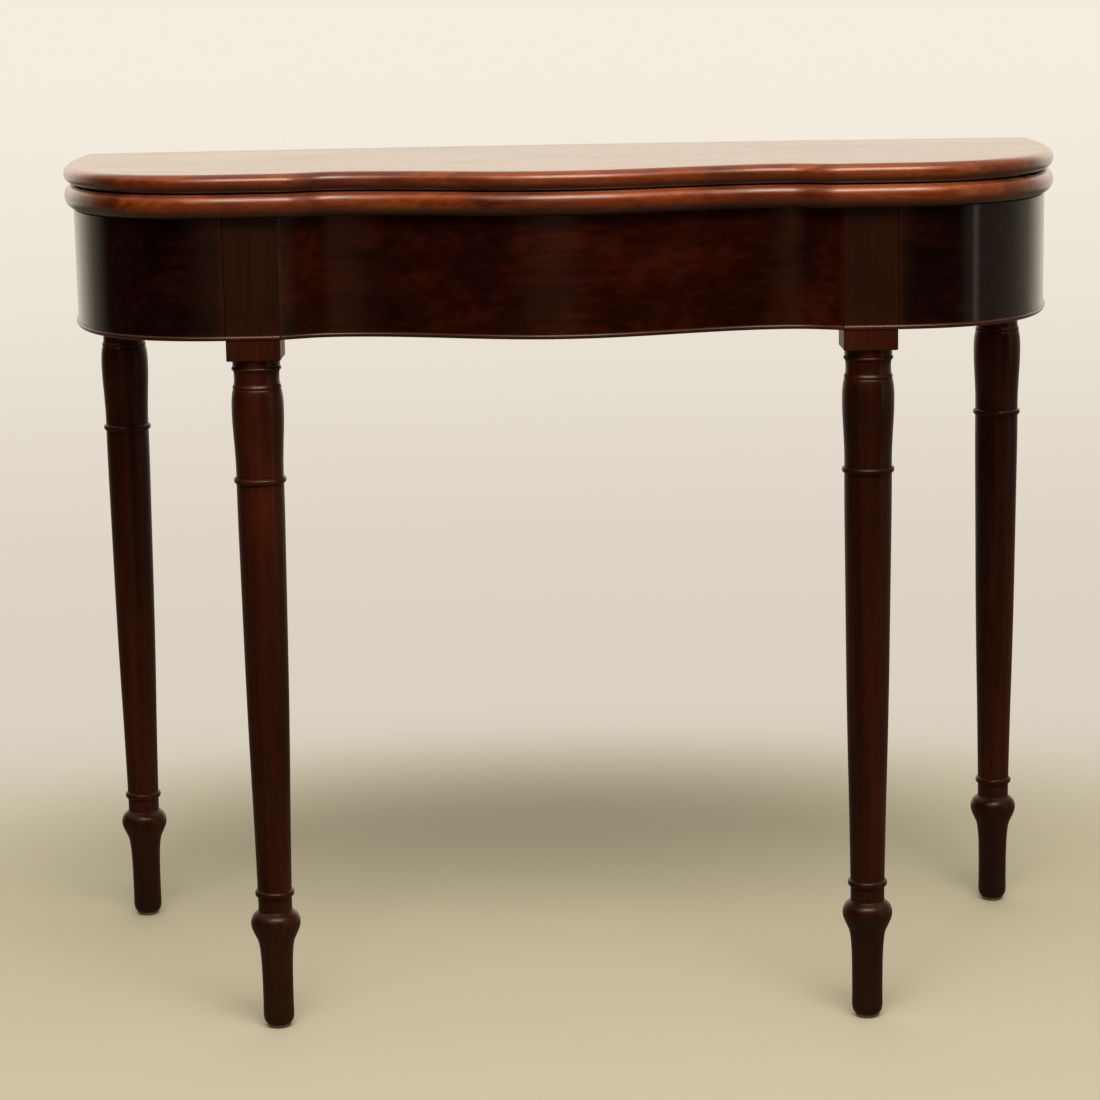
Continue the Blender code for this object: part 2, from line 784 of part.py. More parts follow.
def cut_pin_holes(rail, places):
    holes = bmesh.new()
    radius = KNUCKLE_PIN_RADIUS + FITTING_GAP
    profile = ((FLY_BOTTOM - CUT_OVERRUN, radius), (FLY_TOP + CUT_OVERRUN, radius))
    for x in places:
        add_turning(holes, profile, x, FLY_MIDDLE, LEG_SIDES)
    cut_away(rail, "pin_holes", holes)


def build_fly_rail(name, side, joint):
    pivot = KNUCKLE_X
    end = REAR_POST_INNER - FITTING_GAP
    round_end = arc(pivot, FLY_MIDDLE, KNUCKLE_RADIUS, 90, 270, ARC_STEPS)
    outline = round_end + [
        (end, FLY_MIDDLE - KNUCKLE_RADIUS),
        (end, FLY_MIDDLE + KNUCKLE_RADIUS),
    ]
    shape = bmesh.new()
    add_plan_prism(shape, in_x(side, outline), FLY_BOTTOM, FLY_TOP)
    place = (side * pivot, FLY_MIDDLE, FLY_BOTTOM)
    rail = piece(name + "_fly_rail", INNER_WOOD, shape, place, joint)
    tenon = bmesh.new()
    add_fly_tenon(tenon, side, end - CUT_OVERRUN, FLY_TENON_LENGTH, 0)
    join_on(rail, "tenon", tenon)
    sockets = bmesh.new()
    add_knuckle_sockets(sockets, side * pivot, 1)
    cut_away(rail, "knuckle_sockets", sockets)
    cut_pin_holes(rail, (side * pivot,))


def build_fly_legs():
    for name, side in SIDES:
        joint = joint_empty(name + "_fly_axis", (side * KNUCKLE_X, FLY_MIDDLE, FLY_BOTTOM))
        build_fly_rail(name, side, joint)
        build_rear_leg(name, side, joint)


def build_knuckle_rail():
    """The fixed rail between the two knuckles, and the iron pins that the fly rails turn on."""
    right = arc(KNUCKLE_X, FLY_MIDDLE, KNUCKLE_RADIUS, -90, 90, ARC_STEPS)
    left = arc(-KNUCKLE_X, FLY_MIDDLE, KNUCKLE_RADIUS, 90, 270, ARC_STEPS)
    shape = bmesh.new()
    add_plan_prism(shape, right + left, FLY_BOTTOM, FLY_TOP)
    rail = piece("knuckle_rail", INNER_WOOD, shape, (0, FLY_MIDDLE, FLY_BOTTOM))
    sockets = bmesh.new()
    for side in (-1, 1):
        add_knuckle_sockets(sockets, side * KNUCKLE_X, 0)
    cut_away(rail, "knuckle_sockets", sockets)
    cut_pin_holes(rail, (-KNUCKLE_X, KNUCKLE_X))
    for name, side in SIDES:
        pin = bmesh.new()
        profile = ((FLY_BOTTOM, KNUCKLE_PIN_RADIUS), (FLY_TOP, KNUCKLE_PIN_RADIUS))
        add_turning(pin, profile, side * KNUCKLE_X, FLY_MIDDLE, LEG_SIDES)
        piece(name + "_knuckle_pin", IRON, pin, (side * KNUCKLE_X, FLY_MIDDLE, FLY_BOTTOM))


def build_back_rail():
    """The rail between the two end rails, in front of the fly rails."""
    rear = END_RAIL_REAR
    front = rear - BACK_RAIL_THICKNESS
    end = x_at(end_offset(inner_end_line(), -FITTING_GAP), front)
    shape = bmesh.new()
    add_box(shape, (-end, front, RAIL_TOP - BACK_RAIL_HEIGHT), (end, rear, RAIL_TOP))
    piece("inner_back_rail", INNER_WOOD, shape, (0, rear, RAIL_TOP), smooth=False)


def build_brace():
    front = y_at(inner_front_line(), BRACE_THICKNESS / 2) + FITTING_GAP
    rear = END_RAIL_REAR - BACK_RAIL_THICKNESS - FITTING_GAP
    half = BRACE_THICKNESS / 2
    shape = bmesh.new()
    add_box(shape, (-half, front, RAIL_TOP - BRACE_HEIGHT), (half, rear, RAIL_TOP))
    piece("medial_brace", INNER_WOOD, shape, (0, front, RAIL_TOP), smooth=False)


def block_outline(line, place, run):
    """A block behind a rail, on the right: its face follows the rail's line and its back is straight."""
    half = BLOCK_WIDTH / 2
    near = []
    for x, y in line:
        across = (x - place[0], y - place[1])
        near.append(
            (across[0] * run[0] + across[1] * run[1], across[0] * run[1] - across[1] * run[0])
        )
    face = [(-half, y_at(near, -half))]
    face += [(along, out) for along, out in near if -half < along < half]
    face += [(half, y_at(near, half))]
    return [
        (place[0] + along * run[0] + out * run[1], place[1] + along * run[1] - out * run[0])
        for along, out in face + [(half, -BLOCK_DEPTH), (-half, -BLOCK_DEPTH)]
    ]


def corner_block_outline():
    """A three-cornered block in the angle of the end rail and the inner back rail, on the right."""
    rear = END_RAIL_REAR - BACK_RAIL_THICKNESS - FITTING_GAP
    front = rear - CORNER_BLOCK_SIZE
    line = end_offset(inner_end_line(), -FITTING_GAP)
    side = x_at(line, front)
    return [(side, front), (side, rear), (side - CORNER_BLOCK_SIZE, rear)]


def build_blocks():
    lines = {
        "front": front_offset(inner_front_line(), -FITTING_GAP),
        "end": end_offset(inner_end_line(), -FITTING_GAP),
    }
    seats = block_seats()
    for name, side in SIDES:
        for part, (x, y) in block_screw_places().items():
            outline = block_outline(lines[part], *seats[part])
            shape = bmesh.new()
            add_plan_prism(shape, in_x(side, outline), RAIL_TOP - BLOCK_HEIGHT, RAIL_TOP)
            place = (side * x, y, RAIL_TOP - BLOCK_HEIGHT)
            block = piece(name + "_" + part + "_block", INNER_WOOD, shape, place, smooth=False)
            hole = bmesh.new()
            add_turning(hole, long_screw_profile(FITTING_GAP), side * x, y, SCREW_SIDES)
            cut_away(block, "screw_hole", hole)
            screw = bmesh.new()
            add_turning(screw, long_screw_profile(0), side * x, y, SCREW_SIDES)
            piece(name + "_" + part + "_screw", STEEL, screw, place)
        shape = bmesh.new()
        add_plan_prism(shape, in_x(side, corner_block_outline()), RAIL_TOP - BLOCK_HEIGHT, RAIL_TOP)
        corner = corner_block_outline()[1]
        place = (side * corner[0], corner[1], RAIL_TOP - BLOCK_HEIGHT)
        piece(name + "_corner_block", INNER_WOOD, shape, place, smooth=False)


def hinge_plate_outline(way):
    """A hinge plate from the side: a thin strap with a round knuckle at its rear end."""
    r = HINGE_EDGE_RADIUS
    knuckle = arc(r, r, r, 0, 270, ARC_STEPS)
    thick = HINGE_STRAP_THICKNESS
    corners = [(HINGE_LENGTH, 0), (HINGE_LENGTH, thick), (2 * r, thick)]
    return [hinge_point(way, forward, depth) for forward, depth in corners + knuckle]


def build_hinge_plate(name, side, way, joint):
    middle = side * HINGE_X
    half = HINGE_WIDTH / 2
    height = hinge_pin_height(way)
    origin = (middle, HINGE_PIN_Y, height)
    shape = bmesh.new()
    add_side_prism(shape, hinge_plate_outline(way), middle - half, middle + half)
    plate = piece(name + "_hinge_plate", BRASS, shape, origin, joint)
    slot = bmesh.new()
    slot_half = HINGE_LINK_THICKNESS / 2 + FITTING_GAP
    reach = 2 * HINGE_EDGE_RADIUS + FITTING_GAP
    low = -CUT_OVERRUN
    corners = ((low, low), (low, reach), (reach, reach), (reach, low))
    outline = [hinge_point(way, forward, depth) for forward, depth in corners]
    add_side_prism(slot, outline, middle - slot_half, middle + slot_half)
    cut_away(plate, "link_slot", slot)
    hole = bmesh.new()
    ring = circle(HINGE_PIN_Y, height, HINGE_PIN_RADIUS + FITTING_GAP, PIN_SIDES)
    add_side_prism(hole, ring, middle - half - CUT_OVERRUN, middle + half + CUT_OVERRUN)
    cut_away(plate, "pin_hole", hole)
    screw_holes = bmesh.new()
    for y in hinge_screw_places():
        add_turning(screw_holes, hinge_screw_profile(way, FITTING_GAP), middle, y, SCREW_SIDES)
    cut_away(plate, "screw_holes", screw_holes)
    pin = bmesh.new()
    ring = circle(HINGE_PIN_Y, height, HINGE_PIN_RADIUS, PIN_SIDES)
    add_side_prism(pin, ring, middle - half, middle + half)
    piece(name + "_hinge_pin", BRASS, pin, origin, joint)
    for number, y in enumerate(hinge_screw_places(), 1):
        screw = bmesh.new()
        add_turning(screw, hinge_screw_profile(way, 0), middle, y, SCREW_SIDES)
        place = (middle, y, hinge_point(way, 0, 0)[1])
        piece(name + "_hinge_screw_" + str(number), BRASS, screw, place, joint)


def build_hinge_link(name, side, joint):
    """The small plate between a hinge's two pins. It turns on the lower one."""
    low, high = hinge_pin_height(-1), hinge_pin_height(1)
    outline = arc(HINGE_PIN_Y, low, HINGE_EDGE_RADIUS, 180, 360, ARC_STEPS)
    outline += arc(HINGE_PIN_Y, high, HINGE_EDGE_RADIUS, 0, 180, ARC_STEPS)
    middle = side * HINGE_X
    half = HINGE_LINK_THICKNESS / 2
    shape = bmesh.new()
    add_side_prism(shape, outline, middle - half, middle + half)
    link = piece(name + "_hinge_link", BRASS, shape, (middle, HINGE_PIN_Y, low), joint)
    holes = bmesh.new()
    for height in (low, high):
        ring = circle(HINGE_PIN_Y, height, HINGE_PIN_RADIUS + FITTING_GAP, PIN_SIDES)
        add_side_prism(holes, ring, middle - half - CUT_OVERRUN, middle + half + CUT_OVERRUN)
    cut_away(link, "pin_holes", holes)


def build_hinges(link_axis, leaf_axis):
    for name, side in SIDES:
        build_hinge_plate(name + "_lower", side, -1, None)
        build_hinge_plate(name + "_upper", side, 1, leaf_axis)
        build_hinge_link(name, side, link_axis)


def build_table():
    clear_scene()
    link_axis = joint_empty("hinge_link_axis", (0, HINGE_PIN_Y, hinge_pin_height(-1)))
    leaf_axis = joint_empty("leaf_fold_axis", (0, HINGE_PIN_Y, hinge_pin_height(1)))
    leaf_axis.parent = link_axis
    leaf_axis.matrix_parent_inverse = Matrix.Translation(link_axis.location).inverted()
    build_lower_leaf()
    build_leaf("upper_leaf", 1, leaf_axis)
    build_front_rail()
    build_end_rails()
    build_beads()
    build_front_legs()
    build_back_rail()
    build_brace()
    build_blocks()
    build_knuckle_rail()
    build_fly_legs()
    build_hinges(link_axis, leaf_axis)


build_table()
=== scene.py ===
# %% [markdown]
# # A fold over card table
# This lesson dresses a card table of about 1800 to 1830: two mahogany leaves lie one on the other over
# a serpentine apron, and four turned legs carry it. The CAD model already holds each piece in its
# place and knows what turns on what. Here each visible piece gets its fine shape and its finish.

# %% Load the frame
import json
import math

import bmesh
import bpy
from mathutils import Matrix, Vector

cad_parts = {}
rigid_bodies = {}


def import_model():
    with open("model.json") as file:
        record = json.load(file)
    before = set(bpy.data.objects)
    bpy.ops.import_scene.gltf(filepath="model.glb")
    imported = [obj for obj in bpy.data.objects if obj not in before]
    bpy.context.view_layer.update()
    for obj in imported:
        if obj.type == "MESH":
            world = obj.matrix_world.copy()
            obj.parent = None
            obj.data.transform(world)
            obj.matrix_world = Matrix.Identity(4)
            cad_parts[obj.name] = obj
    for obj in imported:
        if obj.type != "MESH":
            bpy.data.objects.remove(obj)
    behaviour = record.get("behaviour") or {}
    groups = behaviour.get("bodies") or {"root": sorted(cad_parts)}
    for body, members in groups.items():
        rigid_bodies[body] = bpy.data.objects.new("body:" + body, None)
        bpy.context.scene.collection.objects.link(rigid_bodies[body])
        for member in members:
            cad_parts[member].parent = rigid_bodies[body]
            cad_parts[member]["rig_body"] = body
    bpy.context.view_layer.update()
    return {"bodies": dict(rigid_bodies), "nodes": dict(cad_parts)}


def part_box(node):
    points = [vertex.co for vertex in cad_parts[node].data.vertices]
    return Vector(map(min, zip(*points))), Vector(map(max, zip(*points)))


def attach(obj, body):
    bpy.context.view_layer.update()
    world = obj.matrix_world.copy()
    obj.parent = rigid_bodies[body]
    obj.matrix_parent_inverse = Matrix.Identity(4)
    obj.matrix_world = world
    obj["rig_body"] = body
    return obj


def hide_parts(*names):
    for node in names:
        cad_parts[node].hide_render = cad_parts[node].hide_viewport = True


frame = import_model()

ours = set(frame["nodes"].values()) | set(frame["bodies"].values())
for startup in [obj for obj in bpy.data.objects if obj not in ours]:
    bpy.data.objects.remove(startup, do_unlink=True)

# %% [markdown]
# ## The sizes that shape the table
# A joiner works from a rod, a board on which the curve of the front is drawn once at full size.
# The same numbers as the CAD model's are kept here, in metres, so that every fine piece lands in
# the space that its plain solid holds. The small gaps at the end are the room that a joiner leaves
# between two pieces, and the seam is the line that the eye sees where they meet.

# %% Sizes of the rod
TABLE_WIDTH = 0.914
TABLE_DEPTH = 0.440
TABLE_HEIGHT = 0.7525
LEAF_THICKNESS = 0.0182
LEAF_SPACING = 0.0006
LEAF_OVERHANG = 0.013
BOW_RISE = 0.030
DIP_DEPTH = 0.017
DIP_FROM_STILE = 0.0475
END_REACH = 0.125
END_SHOULDER = 0.118
LEG_WIDTH = 0.046
FRONT_LEG_SPACING = 0.5214
REAR_LEG_INSET = 0.008
APRON_HEIGHT = 0.1031
RAIL_THICKNESS = 0.022
BLOCK_DROP = 0.0176
BEAD_HEIGHT = 0.0042
BEAD_SEAT = 0.004
HINGE_EDGE_RADIUS = 0.0037
FITTING_GAP = 0.0003
FLY_GAP = 0.0005
SEAM = 0.0002

LEAF_UNDERSIDE = TABLE_HEIGHT - 2 * LEAF_THICKNESS - LEAF_SPACING
LEAF_MEETING = TABLE_HEIGHT - LEAF_THICKNESS - LEAF_SPACING / 2
RAIL_TOP = LEAF_UNDERSIDE - FITTING_GAP
RAIL_BOTTOM = LEAF_UNDERSIDE - APRON_HEIGHT
BLOCK_BOTTOM = RAIL_BOTTOM - BLOCK_DROP
FLY_TOP = LEAF_UNDERSIDE - FLY_GAP
STILE_FACE = -TABLE_DEPTH / 2 + LEAF_OVERHANG + BOW_RISE
STILE_INNER = (FRONT_LEG_SPACING - LEG_WIDTH) / 2
STILE_OUTER = (FRONT_LEG_SPACING + LEG_WIDTH) / 2
REAR_EDGE = TABLE_DEPTH / 2
REAR_LEG_X = TABLE_WIDTH / 2 - LEAF_OVERHANG - LEG_WIDTH / 2
REAR_LEG_Y = REAR_EDGE - REAR_LEG_INSET - LEG_WIDTH / 2
END_RAIL_REAR = REAR_LEG_Y - LEG_WIDTH / 2 - FITTING_GAP
SIDES = (("left", -1), ("right", 1))
print("height of the leaf's underside in m:", round(LEAF_UNDERSIDE, 4))
print("height of the apron's foot in m:", round(RAIL_BOTTOM, 4))

# %% [markdown]
# ## Drawing the serpentine
# The front swells in the middle, dips on both sides and runs flat over the legs, and each end is a
# round quarter. Bezier curves draw it, because two handles give a fair line with no lumps, and a
# fair line is what the eye checks when light slides along polished wood. Only the right half is
# drawn, and the left half is its mirror image.

# %% Lines of the front and of the ends
BOW_HANDLE_SHARE = 0.36
RETURN_START_SHARE, RETURN_STOP_SHARE = 0.36, 0.40
RETURN_SLOPE = 0.55
BOW_STEPS, RETURN_STEPS, END_STEPS = 48, 16, 56


def bezier(start, pull, push, stop, steps):
    """Points of a curve that leaves start towards pull and reaches stop from push."""
    corners = (start, pull, push, stop)
    points = []
    for i in range(steps + 1):
        t = i / steps
        s = 1 - t
        weights = (s * s * s, 3 * s * s * t, 3 * s * t * t, t * t * t)
        points.append(tuple(sum(w * p[k] for w, p in zip(weights, corners)) for k in (0, 1)))
    return points


def mirrored(points):
    return [(-x, y) for x, y in reversed(points)]


def front_line(overhang, slope):
    """The serpentine between the front legs, from left to right. The slope is how it meets them."""
    face = STILE_FACE - overhang
    dip = STILE_INNER - DIP_FROM_STILE
    crest, hollow = face - BOW_RISE, face + DIP_DEPTH
    handle = BOW_HANDLE_SHARE * dip
    bow = bezier((0, crest), (handle, crest), (dip - handle, hollow), (dip, hollow), BOW_STEPS)
    start = RETURN_START_SHARE * DIP_FROM_STILE
    stop = RETURN_STOP_SHARE * DIP_FROM_STILE
    back = bezier(
        (dip, hollow),
        (dip + start, hollow),
        (STILE_INNER - stop, face + slope * stop),
        (STILE_INNER, face),
        RETURN_STEPS,
    )
    half = bow + back[1:]
    return mirrored(half)[:-1] + half


def end_line(overhang, start, rear):
    """The round right end, from beside the front leg to the back."""
    face = STILE_FACE - overhang
    side = TABLE_WIDTH / 2 - LEAF_OVERHANG + overhang
    pull, push = (STILE_OUTER + END_REACH, face), (side, STILE_FACE + END_SHOULDER)
    return bezier((start, face), pull, push, (side, rear), END_STEPS)


# %% [markdown]
# ## Moving a line in or out
# The leaf, the veneer, the back of the rail and the bead all follow one curve at different
# distances, as a joiner draws them with a gauge. Each point moves at right angles to the line, and
# the two ends slide along a given direction, so that they stay level with the piece they meet.

# %% Lines beside a line
FORWARDS, LEFTWARDS, RIGHTWARDS = (0, -1), (-1, 0), (1, 0)


def direction(a, b):
    length = math.hypot(b[0] - a[0], b[1] - a[1])
    return ((b[0] - a[0]) / length, (b[1] - a[1]) / length)


def offset_line(points, distance, first, last):
    """Moves a line to the right of its run; its two ends slide along given directions."""
    moved = []
    for i, (x, y) in enumerate(points):
        before = direction(points[max(i - 1, 0)], points[max(i, 1)])
        after = direction(points[min(i, len(points) - 2)], points[min(i + 1, len(points) - 1)])
        run = direction((0, 0), (before[0] + after[0], before[1] + after[1]))
        normal = (run[1], -run[0])
        slide = first if i == 0 else last if i == len(points) - 1 else normal
        reach = distance / (slide[0] * normal[0] + slide[1] * normal[1])
        moved.append((x + reach * slide[0], y + reach * slide[1]))
    return moved


def front_offset(points, distance):
    return offset_line(points, distance, FORWARDS, FORWARDS)


def end_offset(points, distance):
    return offset_line(points, distance, FORWARDS, RIGHTWARDS)


apron_front = front_line(0, RETURN_SLOPE)
apron_end = end_line(0, STILE_OUTER + SEAM, END_RAIL_REAR)
print("points along the front:", len(apron_front), "and along each end:", len(apron_end))

# %% [markdown]
# ## Workshop helpers
# `finished` turns a bmesh into an object whose place is in its mesh. On the way `weld` joins what
# meets, and `shade` makes the faces look round but leaves an arris, a joiner's word for a sharp
# edge, wherever two faces meet at more than a set angle. `skin` lays faces between rings of points,
# which is how most mouldings here are made: a section carried along a line.

# %% Helpers for meshes
ARRIS_DEGREES = 38
SAME_PLACE = 0.000002


def shade(mesh):
    for polygon in mesh.polygons:
        polygon.use_smooth = True
    mesh.set_sharp_from_angle(angle=math.radians(ARRIS_DEGREES))


def weld(shape):
    """Joins points that meet, drops faces that have no area, and turns all faces outwards."""
    bmesh.ops.remove_doubles(shape, verts=shape.verts, dist=SAME_PLACE)
    bmesh.ops.dissolve_degenerate(shape, edges=shape.edges, dist=SAME_PLACE)
    bmesh.ops.recalc_face_normals(shape, faces=shape.faces)


def keep(shape, mesh):
    """Writes a cleaned bmesh to a mesh."""
    weld(shape)
    shape.to_mesh(mesh)
    shape.free()
    shade(mesh)


def finished(name, shape):
    mesh = bpy.data.meshes.new(name)
    keep(shape, mesh)
    obj = bpy.data.objects.new(name, mesh)
    bpy.context.scene.collection.objects.link(obj)
    return obj


def skin(shape, rings):
    """Lays faces between closed rings of points, and closes both ends."""
    loops = [[shape.verts.new(point) for point in ring] for ring in rings]
    count = len(rings[0])
    for low, high in zip(loops, loops[1:]):
        for i in range(count):
            j = (i + 1) % count
            shape.faces.new((low[i], low[j], high[j], high[i]))
    shape.faces.new(loops[0][::-1])
    shape.faces.new(loops[-1])


def run_modifiers(obj):
    """Keeps what an object's modifiers make as its plain mesh."""
    graph = bpy.context.evaluated_depsgraph_get()
    mesh = bpy.data.meshes.new_from_object(obj.evaluated_get(graph))
    obj.modifiers.clear()
    obj.data = mesh


# %% [markdown]
# ## Nodes by name
# A material or a Geometry Nodes tree is easier to read when each node is one line with its inputs
# beside it. `node` adds one and fills its sockets: a number or a colour is set, and another node's
# output is linked. The short helpers after it stand for the nodes that come up again and again.

# %% Helpers for nodes
def node(tree, kind, inputs=(), **settings):
    """Adds a node, sets or links its inputs by name, and sets its own settings."""
    made = tree.nodes.new(kind)
    for key, value in settings.items():
        setattr(made, key, value)
    for name, value in dict(inputs).items():
        if isinstance(value, bpy.types.NodeSocket):
            tree.links.new(value, made.inputs[name])
        else:
            made.inputs[name].default_value = value
    return made


def ramp(tree, factor, stops):
    """A colour ramp from (place, colour or grey) stops."""
    made = node(tree, "ShaderNodeValToRGB", {"Fac": factor})
    elements = made.color_ramp.elements
    while len(elements) < len(stops):
        elements.new(0.5)
    for element, (place, colour) in zip(elements, stops):
        element.position = place
        element.color = (*colour, 1) if isinstance(colour, tuple) else (colour, colour, colour, 1)
    return made.outputs["Color"]


def mix(tree, factor, a, b):
    """Goes from colour a to colour b. The Mix node's colour sockets are numbers 6, 7 and 2."""
    sockets = {0: factor, 6: a, 7: b}
    for key in (6, 7):
        if isinstance(sockets[key], tuple):
            sockets[key] = (*sockets[key], 1)
    return node(tree, "ShaderNodeMix", sockets, data_type="RGBA").outputs[2]


def calculate(tree, operation, *values):
    return node(tree, "ShaderNodeMath", dict(enumerate(values)), operation=operation).outputs[0]


def add_up(tree, *terms):
    """Adds value times weight pairs."""
    total = None
    for value, weight in terms:
        part = calculate(tree, "MULTIPLY", value, weight)
        total = part if total is None else calculate(tree, "ADD", total, part)
    return total


def fade(tree, value, low, high, start=0.0, stop=1.0, kind="LINEAR"):
    """Goes from start to stop while the value goes from low to high."""
    settings = {"Value": value, "From Min": low, "From Max": high, "To Min": start, "To Max": stop}
    return node(tree, "ShaderNodeMapRange", settings, interpolation_type=kind).outputs[0]


def cloud_noise(tree, place, scale, detail, roughness=0.6):
    settings = {"Vector": place, "Scale": scale, "Detail": detail, "Roughness": roughness}
    return node(tree, "ShaderNodeTexNoise", settings).outputs["Fac"]


def new_material(name):
    material = bpy.data.materials.new(name)
    material.use_nodes = True
    return material, material.node_tree, material.node_tree.nodes["Principled BSDF"]


# %% [markdown]
# ## Old mahogany under French polish
# Mahogany gets its look from several scales at once: wide clouds of figure where the fibres turn,
# fine streaks along the grain, and pores like short dark dashes. Over them lie many rubbed coats of
# shellac, so the base stays satin and a thin coat above it is glossy. The same recipe serves each
# piece with its own grain direction, and the edges that hands and sleeves rub show a warmer brown.
# Broad shallow waves from the plane bend what the polish mirrors. The fine relief of the grain
# roughens only the wood below it, because the coat has its own normal.

# %% Mahogany material
GRAIN_SCALES = {"X": (1, 0, 0), "Y": (0, 1, 0), "Z": (0, 0, 1)}
PORE_TONE_SHARE, HOLLOW_DIRT_AND_SHADE_SHARE = 0.35, 0.25
SHEEN_MIDDLE = 0.13


def grain_noise(tree, place, grain, along, across, detail, roughness=0.5, distortion=0.0):
    """Noise stretched along the grain; along and across are in cycles a metre."""
    axis = GRAIN_SCALES[grain]
    scale = tuple(along if on else across for on in axis)
    mapped = node(tree, "ShaderNodeMapping", {"Vector": place, "Scale": scale})
    settings = {
        "Vector": mapped.outputs[0],
        "Scale": 1.0,
        "Detail": detail,
        "Roughness": roughness,
        "Distortion": distortion,
    }
    return node(tree, "ShaderNodeTexNoise", settings).outputs["Fac"]


def mahogany(name, grain, tones, wear, figure, polish, own_marks=None):
    """tones: dark, middle and light. polish: roughness, specular, coat weight and coat roughness.
    own_marks is a function that adds to the colour what only this kind of piece shows."""
    material, tree, shader = new_material(name)
    place = node(tree, "ShaderNodeTexCoord").outputs
    clouds = grain_noise(tree, place["Object"], grain, 3.0, 13.0, 4, 0.55, 0.8)
    streaks = grain_noise(tree, place["Object"], grain, 5.0, 170.0, 6, 0.62, 0.2)
    mottle = grain_noise(tree, place["Object"], grain, 14.0, 17.0, 4, 0.55, 1.2)
    pores = grain_noise(tree, place["Object"], grain, 70.0, 1500.0, 2, 0.5)
    dark, middle, light = tones
    tone = add_up(tree, (clouds, 0.64 - figure * 0.5), (streaks, 0.36), (mottle, figure * 0.5))
    colour = ramp(tree, tone, [(0.38, dark), (0.50, middle), (0.64, light)])
    if own_marks:
        colour = own_marks(tree, place, streaks, colour)
    pore_mask = ramp(tree, pores, [(0.57, 0.0), (0.65, 1.0)])
    colour = mix(tree, add_up(tree, (pore_mask, 0.5)), colour, tuple(c * PORE_TONE_SHARE for c in dark))
    point = node(tree, "ShaderNodeNewGeometry").outputs["Pointiness"]
    rubbed = ramp(tree, point, [(0.515, 0.0), (0.56, 1.0)])
    # Hollows, where the pointiness is low, are darkened: dirt and painted shade.
    hollow_dirt_and_shade = ramp(tree, point, [(0.44, 1.0), (0.49, 0.0)])
    colour = mix(tree, add_up(tree, (rubbed, wear)), colour, WORN)
    colour = mix(tree, add_up(tree, (hollow_dirt_and_shade, 0.7)), colour, tuple(c * HOLLOW_DIRT_AND_SHADE_SHARE for c in dark))
    smudge = cloud_noise(tree, place["Object"], 11.0, 5.0)
    sheen = add_up(tree, (smudge, 0.2), (pore_mask, 0.1), (streaks, 0.06))
    matt = calculate(tree, "ADD", sheen, polish[0] - SHEEN_MIDDLE)
    waves = cloud_noise(tree, place["Object"], 20.0, 1.0)
    planed = node(tree, "ShaderNodeBump", {"Height": waves, "Strength": 0.09, "Distance": 0.0006})
    height = add_up(tree, (streaks, 0.6), (pore_mask, -0.8))
    cut = {"Height": height, "Strength": 0.22, "Distance": 0.00012, "Normal": planed.outputs[0]}
    relief = node(tree, "ShaderNodeBump", cut)
    tree.links.new(colour, shader.inputs["Base Color"])
    tree.links.new(matt, shader.inputs["Roughness"])
    tree.links.new(relief.outputs[0], shader.inputs["Normal"])
    tree.links.new(planed.outputs[0], shader.inputs["Coat Normal"])
    shader.inputs["Specular IOR Level"].default_value = polish[1]
    shader.inputs["Specular Tint"].default_value = (*HIGHLIGHT, 1)
    shader.inputs["Coat Weight"].default_value = polish[2]
    shader.inputs["Coat Roughness"].default_value = polish[3]
    return material


# %% [markdown]
# ## Marks that only one kind of piece has
# Hands have rubbed the round edges of the leaves to a warm orange. Their lower half, where fingers
# reach under to open the table, is darker: grime and painted shade. A broken pale line just below
# the joint is old wax and a painted highlight. The feet are darker towards the floor. Each mark is
# a mask between 0 and 1 and a colour mixed in by it: the way a face points, the height, or the
# attribute that a leaf carries.

# %% Marks of a leaf and of a leg
BELOW_JOINT = "below_joint"
WAX_AND_HIGHLIGHT_STARTS, WAX_AND_HIGHLIGHT_STOPS = (0.0002, 0.0004), (0.0008, 0.0014)
FOOT_DARKENING_HEIGHTS = (0.04, 0.13)
STILE_FADE = 0.003


def leaf_marks(tree, place, streaks, wood):
    """Orange round edges with grime and painted shade on their lower half, and a broken pale line of old
    wax and painted highlight along the joint.
    """
    upward = node(tree, "ShaderNodeSeparateXYZ", {0: place["Normal"]}).outputs["Z"]
    on_edge = ramp(tree, calculate(tree, "ABSOLUTE", upward), [(0.86, 1.0), (0.98, 0.0)])
    patches = grain_noise(tree, place["Object"], "X", 9.0, 30.0, 4, 0.6, 0.6)
    tone = add_up(tree, (patches, 0.6), (streaks, 0.4))
    warm = ramp(tree, tone, list(zip((0.34, 0.50, 0.66), ORANGE)))
    # The lower half of each round edge, which faces away from the light, is darkened: grime and painted
    # shade.
    warm = mix(tree, fade(tree, upward, -0.55, 0.5, 0.85, 0.0), warm, GRIME_AND_PAINTED_SHADE)
    colour = mix(tree, on_edge, wood, warm)
    # A pale line just below the joint: old wax and a painted highlight.
    depth = node(tree, "ShaderNodeAttribute", attribute_name=BELOW_JOINT).outputs["Fac"]
    starts = fade(tree, depth, *WAX_AND_HIGHLIGHT_STARTS)
    stops = fade(tree, depth, *WAX_AND_HIGHLIGHT_STOPS, 1.0, 0.0)
    broken = ramp(tree, patches, [(0.42, 0.35), (0.55, 0.9)])
    wax_and_highlight = calculate(tree, "MULTIPLY", calculate(tree, "MULTIPLY", starts, stops), broken)
    return mix(tree, wax_and_highlight, colour, WAX_AND_PAINTED_HIGHLIGHT)


def leg_marks(tree, place, streaks, wood):
    """Darkens the feet towards the floor, and the stiles took more stain than the turning below them."""
    height = node(tree, "ShaderNodeSeparateXYZ", {0: place["Object"]}).outputs["Z"]
    colour = mix(tree, fade(tree, height, *FOOT_DARKENING_HEIGHTS, 0.65, 0.0), wood, FOOT_DARKENING)
    stile = fade(tree, height, RAIL_BOTTOM, RAIL_BOTTOM + STILE_FADE, 0.0, 0.6)
    return mix(tree, stile, colour, STILE_TONE)
